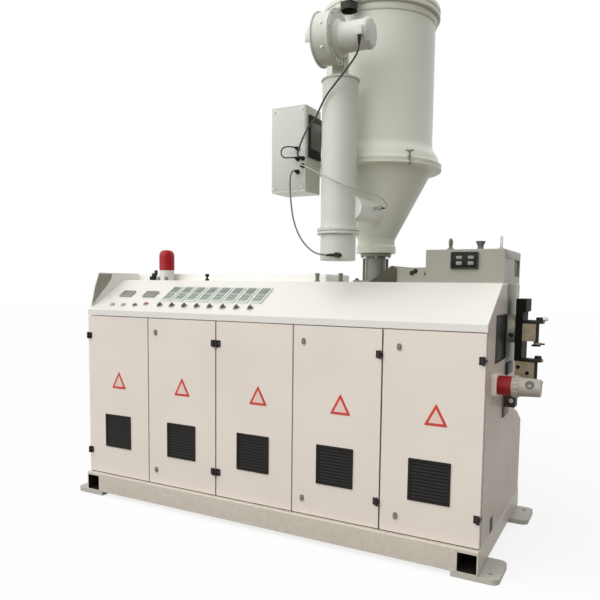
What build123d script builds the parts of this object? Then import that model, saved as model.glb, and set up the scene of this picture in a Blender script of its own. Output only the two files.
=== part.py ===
from build123d import *
import os
from math import atan2, cos, degrees, pi, radians, sin, tan

os.makedirs("parts", exist_ok=True)

# Single-screw plastic extruder with a five-door cabinet and a hopper dryer.
# Millimetres. The origin is on the floor, midway between the four foot bolts.
# +X runs towards the die end, +Y to the rear and +Z up. The doors face -Y.

# Driving dimensions
bay_width = 480
bay_count = 5
cabinet_length = bay_count * bay_width
end_x = cabinet_length / 2
front_y = -500
rear_y = 500
base_top = 137
centre_height = 1100
cabinet_top = centre_height + 12
console_top = centre_height + 228
barrel_y = 30
upper_rear_y = 280
barrel_radius = 70
barrel_bore_radius = 45
throat_x = end_x - 732
throat_bore_radius = 38

# Base: cross tubes on foot plates, two long beams and the deck
plate_thickness = 25
tube_size = 100
tube_wall = 6
deck_thickness = base_top - plate_thickness - tube_size
base_front_y = front_y - 24
base_rear_y = rear_y + 24
plate_length_x = 212
plate_length_y = 234
plate_reach = 90
foot_bolt_radius = 11
foot_bolt_x = end_x + plate_reach / 2
foot_bolt_y = base_rear_y - 60
tube_bottom = plate_thickness
tube_mid_z = tube_bottom + tube_size / 2

with BuildPart() as foot_plates:
    for side_x in (-1, 1):
        for side_y in (-1, 1):
            plate_x = side_x * (end_x + plate_reach - plate_length_x / 2)
            plate_y = side_y * (base_rear_y - plate_length_y / 2)
            with BuildSketch(Plane.XY):
                with Locations((plate_x, plate_y)):
                    Rectangle(plate_length_x, plate_length_y)
            extrude(amount=plate_thickness)
    outer = foot_plates.edges().filter_by(Axis.Z).group_by(Axis.X)
    fillet(outer[0] + outer[-1], 36)
    with Locations(Plane.XY):
        with GridLocations(2 * foot_bolt_x, 2 * foot_bolt_y, 2, 2):
            Hole(foot_bolt_radius)
foot_plates.part.label = "foot_plates"
export_step(foot_plates.part, "parts/foot_plates.step")

with BuildPart() as cross_tubes:
    with BuildSketch(Plane.XZ.offset(-base_front_y)):
        with Locations((-end_x + tube_size / 2, tube_mid_z), (end_x - tube_size / 2, tube_mid_z)):
            RectangleRounded(tube_size, tube_size, 10)
        with Locations((-end_x + tube_size / 2, tube_mid_z), (end_x - tube_size / 2, tube_mid_z)):
            RectangleRounded(tube_size - 2 * tube_wall, tube_size - 2 * tube_wall, 4, mode=Mode.SUBTRACT)
    extrude(amount=-(base_rear_y - base_front_y))
cross_tubes.part.label = "cross_tubes"
export_step(cross_tubes.part, "parts/cross_tubes.step")

# Long beams of folded channel, open to the inside
beam_depth = 60
with BuildPart() as base_beams:
    with BuildSketch(Plane.YZ.offset(-end_x + tube_size)):
        for side_y in (-1, 1):
            with Locations((side_y * (base_rear_y - beam_depth / 2), tube_mid_z)):
                Rectangle(beam_depth, tube_size)
            with Locations((side_y * (base_rear_y - beam_depth / 2 - tube_wall), tube_mid_z)):
                Rectangle(beam_depth, tube_size - 2 * tube_wall, mode=Mode.SUBTRACT)
    extrude(amount=cabinet_length - 2 * tube_size)
base_beams.part.label = "base_beams"
export_step(base_beams.part, "parts/base_beams.step")

with BuildPart() as base_deck:
    with BuildSketch(Plane.XY.offset(base_top - deck_thickness)):
        Rectangle(cabinet_length, base_rear_y - base_front_y)
    extrude(amount=deck_thickness)
    chamfer(base_deck.edges().group_by(Axis.Z)[-1], 4)
base_deck.part.label = "base_deck"
export_step(base_deck.part, "parts/base_deck.step")

# Cabinet: welded front frame, end panels, back and the low rear trough
door_thickness = 20
door_gap = 8
frame_gap = 6
frame_front_y = front_y + door_thickness + frame_gap
frame_depth = 40
post_width = 44
rail_height = 40
frame_opening_height = cabinet_top - base_top - 2 * rail_height
sheet = 8

with BuildPart() as front_frame:
    with BuildSketch(Plane.XZ.offset(-frame_front_y)):
        with Locations((0, (base_top + cabinet_top) / 2)):
            Rectangle(cabinet_length - 2 * sheet, cabinet_top - base_top)
            with GridLocations(bay_width, 0, bay_count, 1):
                Rectangle(bay_width - post_width, frame_opening_height, mode=Mode.SUBTRACT)
    extrude(amount=-frame_depth)
front_frame.part.label = "front_frame"
export_step(front_frame.part, "parts/front_frame.step")

# The console's slope, from the lip over the doors to its top edge
lip_height = 33
slope_rear_y = -197
slope_run = slope_rear_y - front_y
slope_rise = console_top - cabinet_top - lip_height
slope_angle = degrees(atan2(slope_rise, slope_run))

nose_top = console_top - sheet - (slope_rear_y + 3 - frame_front_y) * slope_rise / slope_run
window_width = 244
window_height = 214
window_y = -190
window_z = centre_height - 32
trough_top = base_top + 493
with BuildPart() as end_panels:
    with BuildSketch(Plane.YZ.offset(end_x - sheet)):
        with BuildLine():
            Polyline(
                (frame_front_y, base_top),
                (frame_front_y, nose_top),
                (slope_rear_y + 3, console_top - sheet),
                (upper_rear_y, console_top - sheet),
                (upper_rear_y, base_top),
                close=True,
            )
        make_face()
    extrude(amount=sheet)
    mirror(about=Plane.YZ)
    with BuildSketch(Plane.YZ.offset(end_x - sheet)):
        with Locations((window_y, window_z)):
            Rectangle(window_width, window_height)
        with Locations((barrel_y, centre_height)):
            Circle(barrel_radius)
    extrude(amount=sheet, mode=Mode.SUBTRACT)
end_panels.part.label = "end_panels"
export_step(end_panels.part, "parts/end_panels.step")

with BuildPart() as back_panel:
    with BuildSketch(Plane.XY.offset(base_top)):
        with Locations((0, upper_rear_y - sheet / 2)):
            Rectangle(cabinet_length - 2 * sheet, sheet)
    extrude(amount=console_top - sheet - base_top)
back_panel.part.label = "back_panel"
export_step(back_panel.part, "parts/back_panel.step")

with BuildPart() as rear_trough:
    with BuildSketch(Plane.YZ.offset(-end_x)):
        with BuildLine():
            Polyline(
                (upper_rear_y, base_top),
                (rear_y, base_top),
                (rear_y, trough_top - 80),
                (rear_y - 160, trough_top),
                (upper_rear_y, trough_top),
                close=True,
            )
        make_face()
    extrude(amount=cabinet_length)
rear_trough.part.label = "rear_trough"
export_step(rear_trough.part, "parts/rear_trough.step")

# Console: one bent sheet from the lip over the slope and back over the barrel, open under the feed throat
with BuildPart() as console:
    with BuildSketch(Plane.YZ.offset(-end_x)):
        with BuildLine():
            Polyline(
                (frame_front_y, cabinet_top),
                (front_y, cabinet_top),
                (front_y, cabinet_top + lip_height),
                (slope_rear_y, console_top),
                (upper_rear_y, console_top),
                (upper_rear_y, console_top - sheet),
                (slope_rear_y + 3, console_top - sheet),
                (frame_front_y, nose_top),
                close=True,
            )
        make_face()
    extrude(amount=cabinet_length)
    with BuildSketch(Plane.XY.offset(cabinet_top)):
        with Locations((0, frame_front_y + 10)):
            Rectangle(cabinet_length - 2 * sheet, 20)
    extrude(amount=sheet)
    with BuildSketch(Plane.XY.offset(console_top)):
        with Locations((throat_x, barrel_y)):
            Circle(throat_bore_radius)
    extrude(amount=-sheet, mode=Mode.SUBTRACT)
console.part.label = "console"
export_step(console.part, "parts/console.step")

# Raised cheek that closes the slope at the drive end
cheek_top = console_top + 43
cover_front_edge = -60
slope_gradient = slope_rise / slope_run
cheek_front_y = front_y + 18
with BuildPart() as console_cheek:
    with BuildSketch(Plane.YZ.offset(-end_x)):
        with BuildLine():
            Polyline(
                (cheek_front_y, cabinet_top + lip_height + 18 * slope_gradient),
                (cheek_front_y + 35, cheek_top - 84),
                (cheek_front_y + 69, cheek_top),
                (cover_front_edge, cheek_top),
                (cover_front_edge, console_top),
                (slope_rear_y, console_top),
                close=True,
            )
        make_face()
    extrude(amount=sheet)
console_cheek.part.label = "console_cheek"
export_step(console_cheek.part, "parts/console_cheek.step")

# Doors: a skin with a square vent opening low down and a frame of bars bonded behind it
door_width = bay_width - door_gap
door_bottom = base_top + 5
door_top = cabinet_top - 5
door_height = door_top - door_bottom
door_mid_z = (door_bottom + door_top) / 2
skin = 2
rim = 22
bond_line = 0.2
bar_thickness = door_thickness - skin - bond_line
vent_size = 200
vent_z_mid = base_top + 275
hinge_pin_y = front_y - 10
knuckle_radius = 8
knuckle_height = 12
pin_radius = 3
pin_clearance = 0.06
hinge_heights = (base_top + 138, cabinet_top - 125)
lock_heights = (base_top + 86, cabinet_top - 84)
leaf_reach = 22
hinge_inset = 10
leaf_notch = 11
leaf_thickness = 3
tongue = 2

# Side of each door that carries its hinges, and where its locks stand in from the free edge
hinge_side = (-1, 1, -1, 1, 1)
lock_inset = (0, 57, 0, 60, 82)
bay_middles = [(-2 + number) * bay_width for number in range(bay_count)]


def hinge_edge(number):
    """X of the bay's edge on the side that carries the hinges."""
    return bay_middles[number] + hinge_side[number] * bay_width / 2


def pin_line(number):
    """X of the hinge pins of one door, a little inside the bay's edge."""
    return hinge_edge(number) - hinge_side[number] * hinge_inset


for number in range(bay_count):
    middle = bay_middles[number]
    with BuildPart() as door:
        with BuildSketch(Plane.XZ.offset(-front_y)):
            with Locations((middle, door_mid_z)):
                RectangleRounded(door_width, door_height, 3)
            with Locations((middle, vent_z_mid)):
                Rectangle(vent_size - 20, vent_size - 20, mode=Mode.SUBTRACT)
        extrude(amount=-skin)
        with BuildSketch(Plane.XZ.offset(-front_y - skin - bond_line)):
            for end in (-1, 1):
                with Locations((middle + end * (door_width - rim) / 2, door_mid_z)):
                    Rectangle(rim, door_height)
                with Locations((middle, door_mid_z + end * (door_height - rim) / 2)):
                    Rectangle(door_width - 2 * rim - 2 * bond_line, rim)
        extrude(amount=-bar_thickness)
    door.part.label = f"door_{number + 1}"
    export_step(door.part, f"parts/door_{number + 1}.step")

    # Louvred vent: a frame over the opening with slats that shed water
    slat_count = 11
    slat_pitch = (vent_size - 24) / slat_count
    with BuildPart() as vent:
        with BuildSketch(Plane.XZ.offset(-front_y)):
            with Locations((middle, vent_z_mid)):
                RectangleRounded(vent_size, vent_size, 4)
                Rectangle(vent_size - 24, vent_size - 24, mode=Mode.SUBTRACT)
        extrude(amount=5)
        with BuildSketch(Plane.YZ.offset(middle - vent_size / 2 + 11)):
            for slat in range(slat_count):
                slat_z = vent_z_mid + (slat - (slat_count - 1) / 2) * slat_pitch
                with BuildLine():
                    Polyline(
                        (front_y - 4, slat_z - 6),
                        (front_y - 4, slat_z - 4),
                        (front_y + 2, slat_z + 6),
                        (front_y + 2, slat_z + 4),
                        close=True,
                    )
                make_face()
        extrude(amount=vent_size - 22)
    vent.part.label = f"door_vent_{number + 1}"
    export_step(vent.part, f"parts/door_vent_{number + 1}.step")

    # Black fittings on the door: hinge leaves with their knuckles, and quarter-turn locks
    side = hinge_side[number]
    line_x = pin_line(number)
    with BuildPart() as fittings:
        for height in hinge_heights:
            rows = (height - knuckle_height, height + knuckle_height)
            with BuildSketch(Plane.XZ.offset(-front_y)):
                with Locations((line_x - side * (leaf_notch + leaf_reach) / 2, height)):
                    Rectangle(leaf_reach - leaf_notch, 3 * knuckle_height)
                for row in rows:
                    with Locations((line_x - side * leaf_reach / 2, row)):
                        Rectangle(leaf_reach, knuckle_height - 0.6)
            extrude(amount=leaf_thickness)
            for row in rows:
                with BuildSketch(Plane.XY.offset(row - knuckle_height / 2 + 0.3)):
                    with Locations((line_x, hinge_pin_y)):
                        Circle(knuckle_radius)
                extrude(amount=knuckle_height - 0.6)
                with BuildSketch(Plane.XY.offset(row - knuckle_height / 2)):
                    with Locations((line_x, hinge_pin_y)):
                        Circle(pin_radius + pin_clearance)
                extrude(amount=knuckle_height, mode=Mode.SUBTRACT)
        if lock_inset[number]:
            lock_x = middle - side * (bay_width / 2 - lock_inset[number])
            for height in lock_heights:
                with BuildSketch(Plane.XZ.offset(-front_y)):
                    with Locations((lock_x, height)):
                        SlotOverall(34, 22, rotation=90)
                extrude(amount=6, taper=8)
                with BuildSketch(Plane.XZ.offset(-front_y + 6)):
                    with Locations((lock_x, height)):
                        Circle(7)
                extrude(amount=3)
    fittings.part.label = f"door_fittings_{number + 1}"
    export_step(fittings.part, f"parts/door_fittings_{number + 1}.step")

# Fixed halves of the hinges: a tongue through the door gap, the middle knuckle and the pin
with BuildPart() as frame_hinges:
    for number in range(bay_count):
        line_x = pin_line(number)
        tongue_x = max(-end_x + tongue / 2, min(end_x - tongue / 2, hinge_edge(number)))
        for height in hinge_heights:
            with BuildSketch(Plane.XY.offset(height - knuckle_height / 2)):
                with Locations((tongue_x, (frame_front_y + hinge_pin_y) / 2)):
                    Rectangle(tongue, frame_front_y - hinge_pin_y)
                with Locations(((tongue_x + line_x) / 2, hinge_pin_y + 1)):
                    Rectangle(abs(tongue_x - line_x) + tongue, 4)
                with Locations((line_x, hinge_pin_y)):
                    Circle(knuckle_radius)
            extrude(amount=knuckle_height)
            with BuildSketch(Plane.XY.offset(height - 1.5 * knuckle_height - 3)):
                with Locations((line_x, hinge_pin_y)):
                    Circle(pin_radius)
            extrude(amount=3 * knuckle_height + 6)
frame_hinges.part.label = "frame_hinges"
export_step(frame_hinges.part, "parts/frame_hinges.step")

# Instruments on the slope, placed by their X and their distance up the slope from the lip
slope_plane = Plane(
    origin=(0, front_y, cabinet_top + lip_height),
    x_dir=(1, 0, 0),
    z_dir=(0, -sin(radians(slope_angle)), cos(radians(slope_angle))),
)
controller_count = 8
controller_pitch = 89
controller_first_x = 526 - end_x
controller_width = 72
controller_height = 160
controller_s = 192
controller_middles = [
    (controller_first_x + step * controller_pitch, controller_s) for step in range(controller_count)
]
switch_places = [(x - 5, 66) for x, s in controller_middles]
button_places = ((156 - end_x, 58), (241 - end_x, 60), (334 - end_x, 60), (408 - end_x, 76))
meter_places = ((183 - end_x, 180), (368 - end_x, 180))

with BuildPart() as controllers:
    with BuildSketch(slope_plane):
        with Locations(*controller_middles):
            RectangleRounded(controller_width, controller_height, 4)
    extrude(amount=9)
    with BuildSketch(slope_plane.offset(9)):
        with Locations(*controller_middles):
            Rectangle(controller_width - 14, controller_height - 16)
    extrude(amount=-3, mode=Mode.SUBTRACT)
controllers.part.label = "controllers"
export_step(controllers.part, "parts/controllers.step")

with BuildPart() as selector_switches:
    with BuildSketch(slope_plane):
        with Locations(*switch_places):
            Circle(15)
    extrude(amount=6)
    with BuildSketch(slope_plane.offset(6)):
        with Locations(*switch_places):
            Rectangle(9, 26)
    extrude(amount=12)
selector_switches.part.label = "selector_switches"
export_step(selector_switches.part, "parts/selector_switches.step")

with BuildPart() as push_buttons:
    with BuildSketch(slope_plane):
        with Locations(*button_places):
            Circle(17)
    extrude(amount=5)
    with BuildSketch(slope_plane.offset(5)):
        with Locations(*button_places):
            Circle(12)
    extrude(amount=7)
push_buttons.part.label = "push_buttons"
export_step(push_buttons.part, "parts/push_buttons.step")

# Beacon on the console top
beacon_x = 303 - end_x
beacon_y = -120
beacon_radius = 49
with BuildPart() as beacon_base:
    with BuildSketch(Plane.XZ.offset(-beacon_y)):
        with BuildLine():
            Polyline(
                (beacon_x, console_top),
                (beacon_x + beacon_radius - 2, console_top),
                (beacon_x + beacon_radius - 2, console_top + 60),
                (beacon_x + beacon_radius - 7, console_top + 66),
                (beacon_x, console_top + 66),
                close=True,
            )
        make_face()
    revolve(axis=Axis((beacon_x, beacon_y, 0), (0, 0, 1)))
beacon_base.part.label = "beacon_base"
export_step(beacon_base.part, "parts/beacon_base.step")

with BuildPart() as beacon_dome:
    with BuildSketch(Plane.XZ.offset(-beacon_y)):
        with BuildLine():
            Line((beacon_x, console_top + 66), (beacon_x + beacon_radius, console_top + 66))
            Line(
                (beacon_x + beacon_radius, console_top + 66),
                (beacon_x + beacon_radius - 2, console_top + 150),
            )
            Spline(
                (beacon_x + beacon_radius - 2, console_top + 150),
                (beacon_x + beacon_radius - 15, console_top + 182),
                (beacon_x, console_top + 194),
                tangents=[(0, 1), (-1, 0)],
            )
            Line((beacon_x, console_top + 194), (beacon_x, console_top + 66))
        make_face()
    revolve(axis=Axis((beacon_x, beacon_y, 0), (0, 0, 1)))
beacon_dome.part.label = "beacon_dome"
export_step(beacon_dome.part, "parts/beacon_dome.step")

# Covers over the drive, the feed end and the barrel, all standing on the console top
cover_front_y = -170
cover_rear_y = 262
drive_cover_end_x = throat_x - 263
with BuildPart() as drive_cover:
    with BuildSketch(Plane.XY.offset(console_top)):
        with Locations(((drive_cover_end_x - end_x) / 2, (cover_rear_y + cover_front_edge) / 2)):
            Rectangle(drive_cover_end_x + end_x, cover_rear_y - cover_front_edge)
    extrude(amount=cheek_top - console_top)
    chamfer(drive_cover.edges().group_by(Axis.Z)[-1], 6)
drive_cover.part.label = "drive_cover"
export_step(drive_cover.part, "parts/drive_cover.step")

main_cover_x = end_x - 385
low_cover_x = main_cover_x - 200
main_cover_top = console_top + 164
recess_depth = 12
with BuildPart() as low_cover:
    with BuildSketch(Plane.XY.offset(console_top)):
        with Locations(((low_cover_x + main_cover_x) / 2, (cover_front_y + cover_rear_y) / 2)):
            Rectangle(main_cover_x - low_cover_x, cover_rear_y - cover_front_y - 20)
    extrude(amount=76)
    chamfer(low_cover.edges().group_by(Axis.Z)[-1], 5)
low_cover.part.label = "low_cover"
export_step(low_cover.part, "parts/low_cover.step")

with BuildPart() as main_cover:
    with BuildSketch(Plane.XY.offset(console_top)):
        with Locations(((main_cover_x + end_x) / 2, (cover_front_y + cover_rear_y) / 2)):
            Rectangle(end_x - main_cover_x, cover_rear_y - cover_front_y)
    extrude(amount=main_cover_top - console_top)
    chamfer(main_cover.edges().group_by(Axis.Z)[-1], 5)
    with BuildSketch(Plane.YZ.offset(end_x)):
        with Locations((cover_rear_y - 86, main_cover_top - 81)):
            Rectangle(150, 94)
    extrude(amount=-recess_depth, mode=Mode.SUBTRACT)
main_cover.part.label = "main_cover"
export_step(main_cover.part, "parts/main_cover.step")

# Framed instruments: two meters on the slope and the larger display on the main cover
display_place = (main_cover_x + 195, main_cover_top - 55)
with BuildPart() as panel_meters:
    with BuildSketch(slope_plane):
        with Locations(*meter_places):
            RectangleRounded(92, 62, 4)
    extrude(amount=10)
    with BuildSketch(slope_plane.offset(10)):
        with Locations(*meter_places):
            Rectangle(80, 50)
    extrude(amount=-3, mode=Mode.SUBTRACT)
    with BuildSketch(Plane.XZ.offset(-cover_front_y)):
        with Locations(display_place):
            RectangleRounded(132, 82, 4)
    extrude(amount=14)
    with BuildSketch(Plane.XZ.offset(-cover_front_y + 14)):
        with Locations(display_place):
            Rectangle(118, 68)
    extrude(amount=-3, mode=Mode.SUBTRACT)
panel_meters.part.label = "panel_meters"
export_step(panel_meters.part, "parts/panel_meters.step")

# Barrel with its tall die flange and the two hinge clamps on the near side of the bore
barrel_start_x = throat_x - 110
flange_x = end_x + 40
flange_thickness = 34
flange_height = 306
flange_width = 170
flange_face_x = flange_x + flange_thickness
head_height = 65
head_step = 14
die_bolt_radius = 8.5
die_bolt_spacing_y = 100
die_bolt_spacing_z = 150
with BuildPart() as barrel:
    with BuildSketch(Plane.YZ.offset(barrel_start_x)):
        with Locations((barrel_y, centre_height)):
            Circle(barrel_radius)
            Circle(barrel_bore_radius, mode=Mode.SUBTRACT)
    extrude(amount=flange_x - barrel_start_x)
    with BuildSketch(Plane.XY.offset(centre_height)):
        with Locations((throat_x, barrel_y)):
            Circle(throat_bore_radius)
    extrude(amount=barrel_radius, mode=Mode.SUBTRACT)
barrel.part.label = "barrel"
export_step(barrel.part, "parts/barrel.step")

with BuildPart() as die_flange:
    with BuildSketch(Plane.YZ.offset(flange_x)):
        with Locations((barrel_y, centre_height)):
            RectangleRounded(flange_width, flange_height, 4)
            Circle(barrel_bore_radius, mode=Mode.SUBTRACT)
            with GridLocations(die_bolt_spacing_y, die_bolt_spacing_z, 2, 2):
                Circle(die_bolt_radius, mode=Mode.SUBTRACT)
    extrude(amount=flange_thickness)
    with BuildSketch(Plane.YZ.offset(flange_face_x)):
        with Locations((barrel_y, centre_height + (flange_height - head_height) / 2)):
            Rectangle(flange_width, head_height)
    extrude(amount=head_step)
    chamfer(die_flange.edges().group_by(Axis.X)[-1], 3)
die_flange.part.label = "die_flange"
export_step(die_flange.part, "parts/die_flange.step")

clamp_width = 37
clamp_y = barrel_y - flange_width / 2 + clamp_width / 2
clamp_length = 62
clamp_height = 88
strap_thickness = 14
clamp_pin_radius = 9
clamp_pin_x = flange_face_x + clamp_length
with BuildPart() as swing_clamps:
    for clamp_start_x, clamp_z in (
        (flange_face_x, centre_height - 9),
        (flange_x + 5, centre_height - flange_height / 2 - clamp_height / 2),
    ):
        block_end_x = flange_face_x + clamp_length
        with BuildSketch(Plane.XY.offset(clamp_z - clamp_height / 2)):
            with Locations(((clamp_start_x + block_end_x) / 2, clamp_y)):
                Rectangle(block_end_x - clamp_start_x, clamp_width)
        extrude(amount=clamp_height)
        with BuildSketch(Plane.XY.offset(clamp_z + clamp_height / 2)):
            with BuildLine():
                Polyline(
                    (flange_face_x, clamp_y - clamp_width / 2),
                    (flange_face_x + 80, clamp_y - clamp_width / 2),
                    (flange_face_x + 100, clamp_y),
                    (flange_face_x + 80, clamp_y + clamp_width / 2),
                    (flange_face_x, clamp_y + clamp_width / 2),
                    close=True,
                )
            make_face()
        extrude(amount=strap_thickness)
        with BuildSketch(Plane.XY.offset(clamp_z + clamp_height / 2)):
            with Locations((clamp_pin_x, clamp_y)):
                Circle(clamp_pin_radius)
        extrude(amount=-clamp_height - 6)
        with BuildSketch(Plane.XY.offset(clamp_z - clamp_height / 2 - 6)):
            with Locations((clamp_pin_x + 8, clamp_y)):
                Circle(2 * clamp_pin_radius)
        extrude(amount=-8)
swing_clamps.part.label = "swing_clamps"
export_step(swing_clamps.part, "parts/swing_clamps.step")

# Power inlet low on the die end: socket and plug
plug_y = -330
plug_z = centre_height - 238
with BuildPart() as power_socket:
    with BuildSketch(Plane.YZ.offset(end_x)):
        with Locations((plug_y, plug_z)):
            RectangleRounded(100, 100, 12)
    extrude(amount=22)
    with BuildSketch(Plane.YZ.offset(end_x + 22)):
        with Locations((plug_y, plug_z)):
            Circle(43)
    extrude(amount=62, taper=-2)
power_socket.part.label = "power_socket"
export_step(power_socket.part, "parts/power_socket.step")

with BuildPart() as power_plug:
    with BuildSketch(Plane.YZ.offset(end_x + 84)):
        with Locations((plug_y, plug_z)):
            Circle(48)
    extrude(amount=30)
    with BuildSketch(Plane.YZ.offset(end_x + 114)):
        with Locations((plug_y, plug_z)):
            Circle(44)
    extrude(amount=92, taper=3)
power_plug.part.label = "power_plug"
export_step(power_plug.part, "parts/power_plug.step")

# Hopper dryer over the feed throat, with a clear way down to the barrel
hopper_y = barrel_y
hopper_radius = 290
hopper_wall = 4
throat_radius = 57
throat_top = console_top + 159
throat_flange = 17
throat_plate = 10
base_height = 80
cone_bottom = throat_top + base_height
cone_height = 358
cone_top = cone_bottom + cone_height
cone_bottom_radius = 105
ring_radius = hopper_radius + 52
shell_height = 786
rim_bottom = cone_top + shell_height
rim_reach = 24
rim_height = 55
lid_rise = 64
lid_flat_radius = 90
hopper_axis = Axis((throat_x, hopper_y, 0), (0, 0, 1))

with BuildPart() as feed_throat:
    with BuildSketch(Plane.XY.offset(console_top)):
        with Locations((throat_x, hopper_y)):
            Rectangle(190, 190)
    extrude(amount=throat_plate)
    with BuildSketch(Plane.XY.offset(console_top + throat_plate)):
        with Locations((throat_x, hopper_y)):
            Circle(throat_radius)
    extrude(amount=throat_top - throat_flange - console_top - throat_plate)
    with BuildSketch(Plane.XY.offset(throat_top - throat_flange)):
        with Locations((throat_x, hopper_y)):
            Circle(throat_radius + 28)
    extrude(amount=throat_flange)
    with Locations((throat_x, hopper_y, throat_top)):
        Hole(throat_bore_radius)
feed_throat.part.label = "feed_throat"
export_step(feed_throat.part, "parts/feed_throat.step")

feed_block_bottom = centre_height - 120
with BuildPart() as feed_block:
    with BuildSketch(Plane.XY.offset(feed_block_bottom)):
        with Locations((throat_x, hopper_y)):
            Rectangle(220, 220)
    extrude(amount=console_top - sheet - feed_block_bottom)
    with BuildSketch(Plane.YZ.offset(throat_x)):
        with Locations((barrel_y, centre_height)):
            Circle(barrel_radius)
    extrude(amount=110, both=True, mode=Mode.SUBTRACT)
    with BuildSketch(Plane.XY.offset(console_top - sheet)):
        with Locations((throat_x, hopper_y)):
            Circle(throat_bore_radius)
    extrude(amount=centre_height - console_top + sheet, mode=Mode.SUBTRACT)
feed_block.part.label = "feed_block"
export_step(feed_block.part, "parts/feed_block.step")

with BuildPart() as hopper_base:
    with BuildSketch(Plane.XZ.offset(-hopper_y)):
        with BuildLine():
            Polyline(
                (throat_x + throat_bore_radius, throat_top),
                (throat_x + cone_bottom_radius + 3, throat_top),
                (throat_x + cone_bottom_radius + 3, throat_top + 38),
                (throat_x + cone_bottom_radius - 3, throat_top + 42),
                (throat_x + cone_bottom_radius - 3, cone_bottom),
                (throat_x + cone_bottom_radius - 9, cone_bottom),
                (throat_x + throat_bore_radius, throat_top + 20),
                close=True,
            )
        make_face()
    revolve(axis=hopper_axis)
hopper_base.part.label = "hopper_base"
export_step(hopper_base.part, "parts/hopper_base.step")

with BuildPart() as hopper_cone:
    with BuildSketch(Plane.XZ.offset(-hopper_y)):
        with BuildLine():
            Polyline(
                (throat_x + cone_bottom_radius - hopper_wall, cone_bottom),
                (throat_x + cone_bottom_radius, cone_bottom),
                (throat_x + hopper_radius + 2, cone_top),
                (throat_x + ring_radius, cone_top),
                (throat_x + ring_radius, cone_top + 14),
                (throat_x + hopper_radius - hopper_wall, cone_top + 14),
                close=True,
            )
        make_face()
    revolve(axis=hopper_axis)
hopper_cone.part.label = "hopper_cone"
export_step(hopper_cone.part, "parts/hopper_cone.step")

with BuildPart() as hopper_shell:
    with BuildSketch(Plane.XZ.offset(-hopper_y)):
        with BuildLine():
            Polyline(
                (throat_x + hopper_radius - hopper_wall, cone_top + 14),
                (throat_x + ring_radius, cone_top + 14),
                (throat_x + ring_radius, cone_top + 34),
                (throat_x + ring_radius - 14, cone_top + 40),
                (throat_x + ring_radius - 16, cone_top + 72),
                (throat_x + hopper_radius + 8, cone_top + 96),
                (throat_x + hopper_radius, cone_top + 120),
                (throat_x + hopper_radius, rim_bottom - 34),
                (throat_x + hopper_radius + 8, rim_bottom - 30),
                (throat_x + hopper_radius + 8, rim_bottom),
                (throat_x + hopper_radius - hopper_wall, rim_bottom),
                close=True,
            )
        make_face()
    revolve(axis=hopper_axis)
hopper_shell.part.label = "hopper_shell"
export_step(hopper_shell.part, "parts/hopper_shell.step")

with BuildPart() as hopper_lid:
    with BuildSketch(Plane.XZ.offset(-hopper_y)):
        with BuildLine():
            Polyline(
                (throat_x, rim_bottom),
                (throat_x + hopper_radius + rim_reach, rim_bottom),
                (throat_x + hopper_radius + rim_reach, rim_bottom + rim_height),
                (throat_x + hopper_radius + 10, rim_bottom + rim_height + 7),
                (throat_x + lid_flat_radius, rim_bottom + rim_height + lid_rise),
                (throat_x, rim_bottom + rim_height + lid_rise),
                close=True,
            )
        make_face()
    revolve(axis=hopper_axis)
hopper_lid.part.label = "hopper_lid"
export_step(hopper_lid.part, "parts/hopper_lid.step")

# Black exhaust bend from the lid, over the rim and down, open at its mouth
bend_radius = 42
bend_wall = 4
bend_top = rim_bottom + rim_height + 134
bend_mouth = rim_bottom - 56
bend_stem = (throat_x - 14, hopper_y - hopper_radius + 122)
bend_drop = (throat_x - 28, hopper_y - hopper_radius - rim_reach - bend_radius - 4)
bend_points = [
    (*bend_stem, rim_bottom + rim_height / 2),
    (*bend_stem, bend_top),
    (*bend_drop, bend_top),
    (*bend_drop, bend_mouth),
]
with BuildPart() as exhaust_bend:
    with BuildLine() as bend_line:
        FilletPolyline(*bend_points, radius=70)
    with BuildSketch(Plane.XY.offset(rim_bottom + rim_height / 2)):
        with Locations(bend_stem):
            Circle(bend_radius)
            Circle(bend_radius - bend_wall, mode=Mode.SUBTRACT)
    sweep(path=bend_line.wires()[0])
    add(hopper_lid.part, mode=Mode.SUBTRACT)
exhaust_bend.part.label = "exhaust_bend"
export_step(exhaust_bend.part, "parts/exhaust_bend.step")

# Heater pipe beside the hopper, with the hot air elbow into the cone
pipe_x = throat_x - 32
pipe_y = hopper_y - hopper_radius - 145
pipe_radius = 88
pipe_joint_z = cone_bottom + 8
pipe_bottom = pipe_joint_z - 144
pipe_top = cone_top + 380
pipe_axis = Axis((pipe_x, pipe_y, 0), (0, 0, 1))
with BuildPart() as heater_pipe:
    with BuildSketch(Plane.XZ.offset(-pipe_y)):
        with BuildLine():
            Polyline(
                (pipe_x, pipe_joint_z),
                (pipe_x + pipe_radius + 16, pipe_joint_z),
                (pipe_x + pipe_radius + 16, pipe_joint_z + 14),
                (pipe_x + pipe_radius, pipe_joint_z + 14),
                (pipe_x + pipe_radius, pipe_top - 8),
                (pipe_x + pipe_radius + 6, pipe_top - 8),
                (pipe_x + pipe_radius + 6, pipe_top),
                (pipe_x, pipe_top),
                close=True,
            )
        make_face()
    revolve(axis=pipe_axis)
heater_pipe.part.label = "heater_pipe"
export_step(heater_pipe.part, "parts/heater_pipe.step")

with BuildPart() as heater_pot:
    with BuildSketch(Plane.XZ.offset(-pipe_y)):
        with BuildLine():
            Polyline(
                (pipe_x, pipe_bottom),
                (pipe_x + pipe_radius - 4, pipe_bottom),
                (pipe_x + pipe_radius, pipe_bottom + 4),
                (pipe_x + pipe_radius, pipe_joint_z - 14),
                (pipe_x + pipe_radius + 16, pipe_joint_z - 14),
                (pipe_x + pipe_radius + 16, pipe_joint_z),
                (pipe_x, pipe_joint_z),
                close=True,
            )
        make_face()
    revolve(axis=pipe_axis)
heater_pot.part.label = "heater_pot"
export_step(heater_pot.part, "parts/heater_pot.step")

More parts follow.
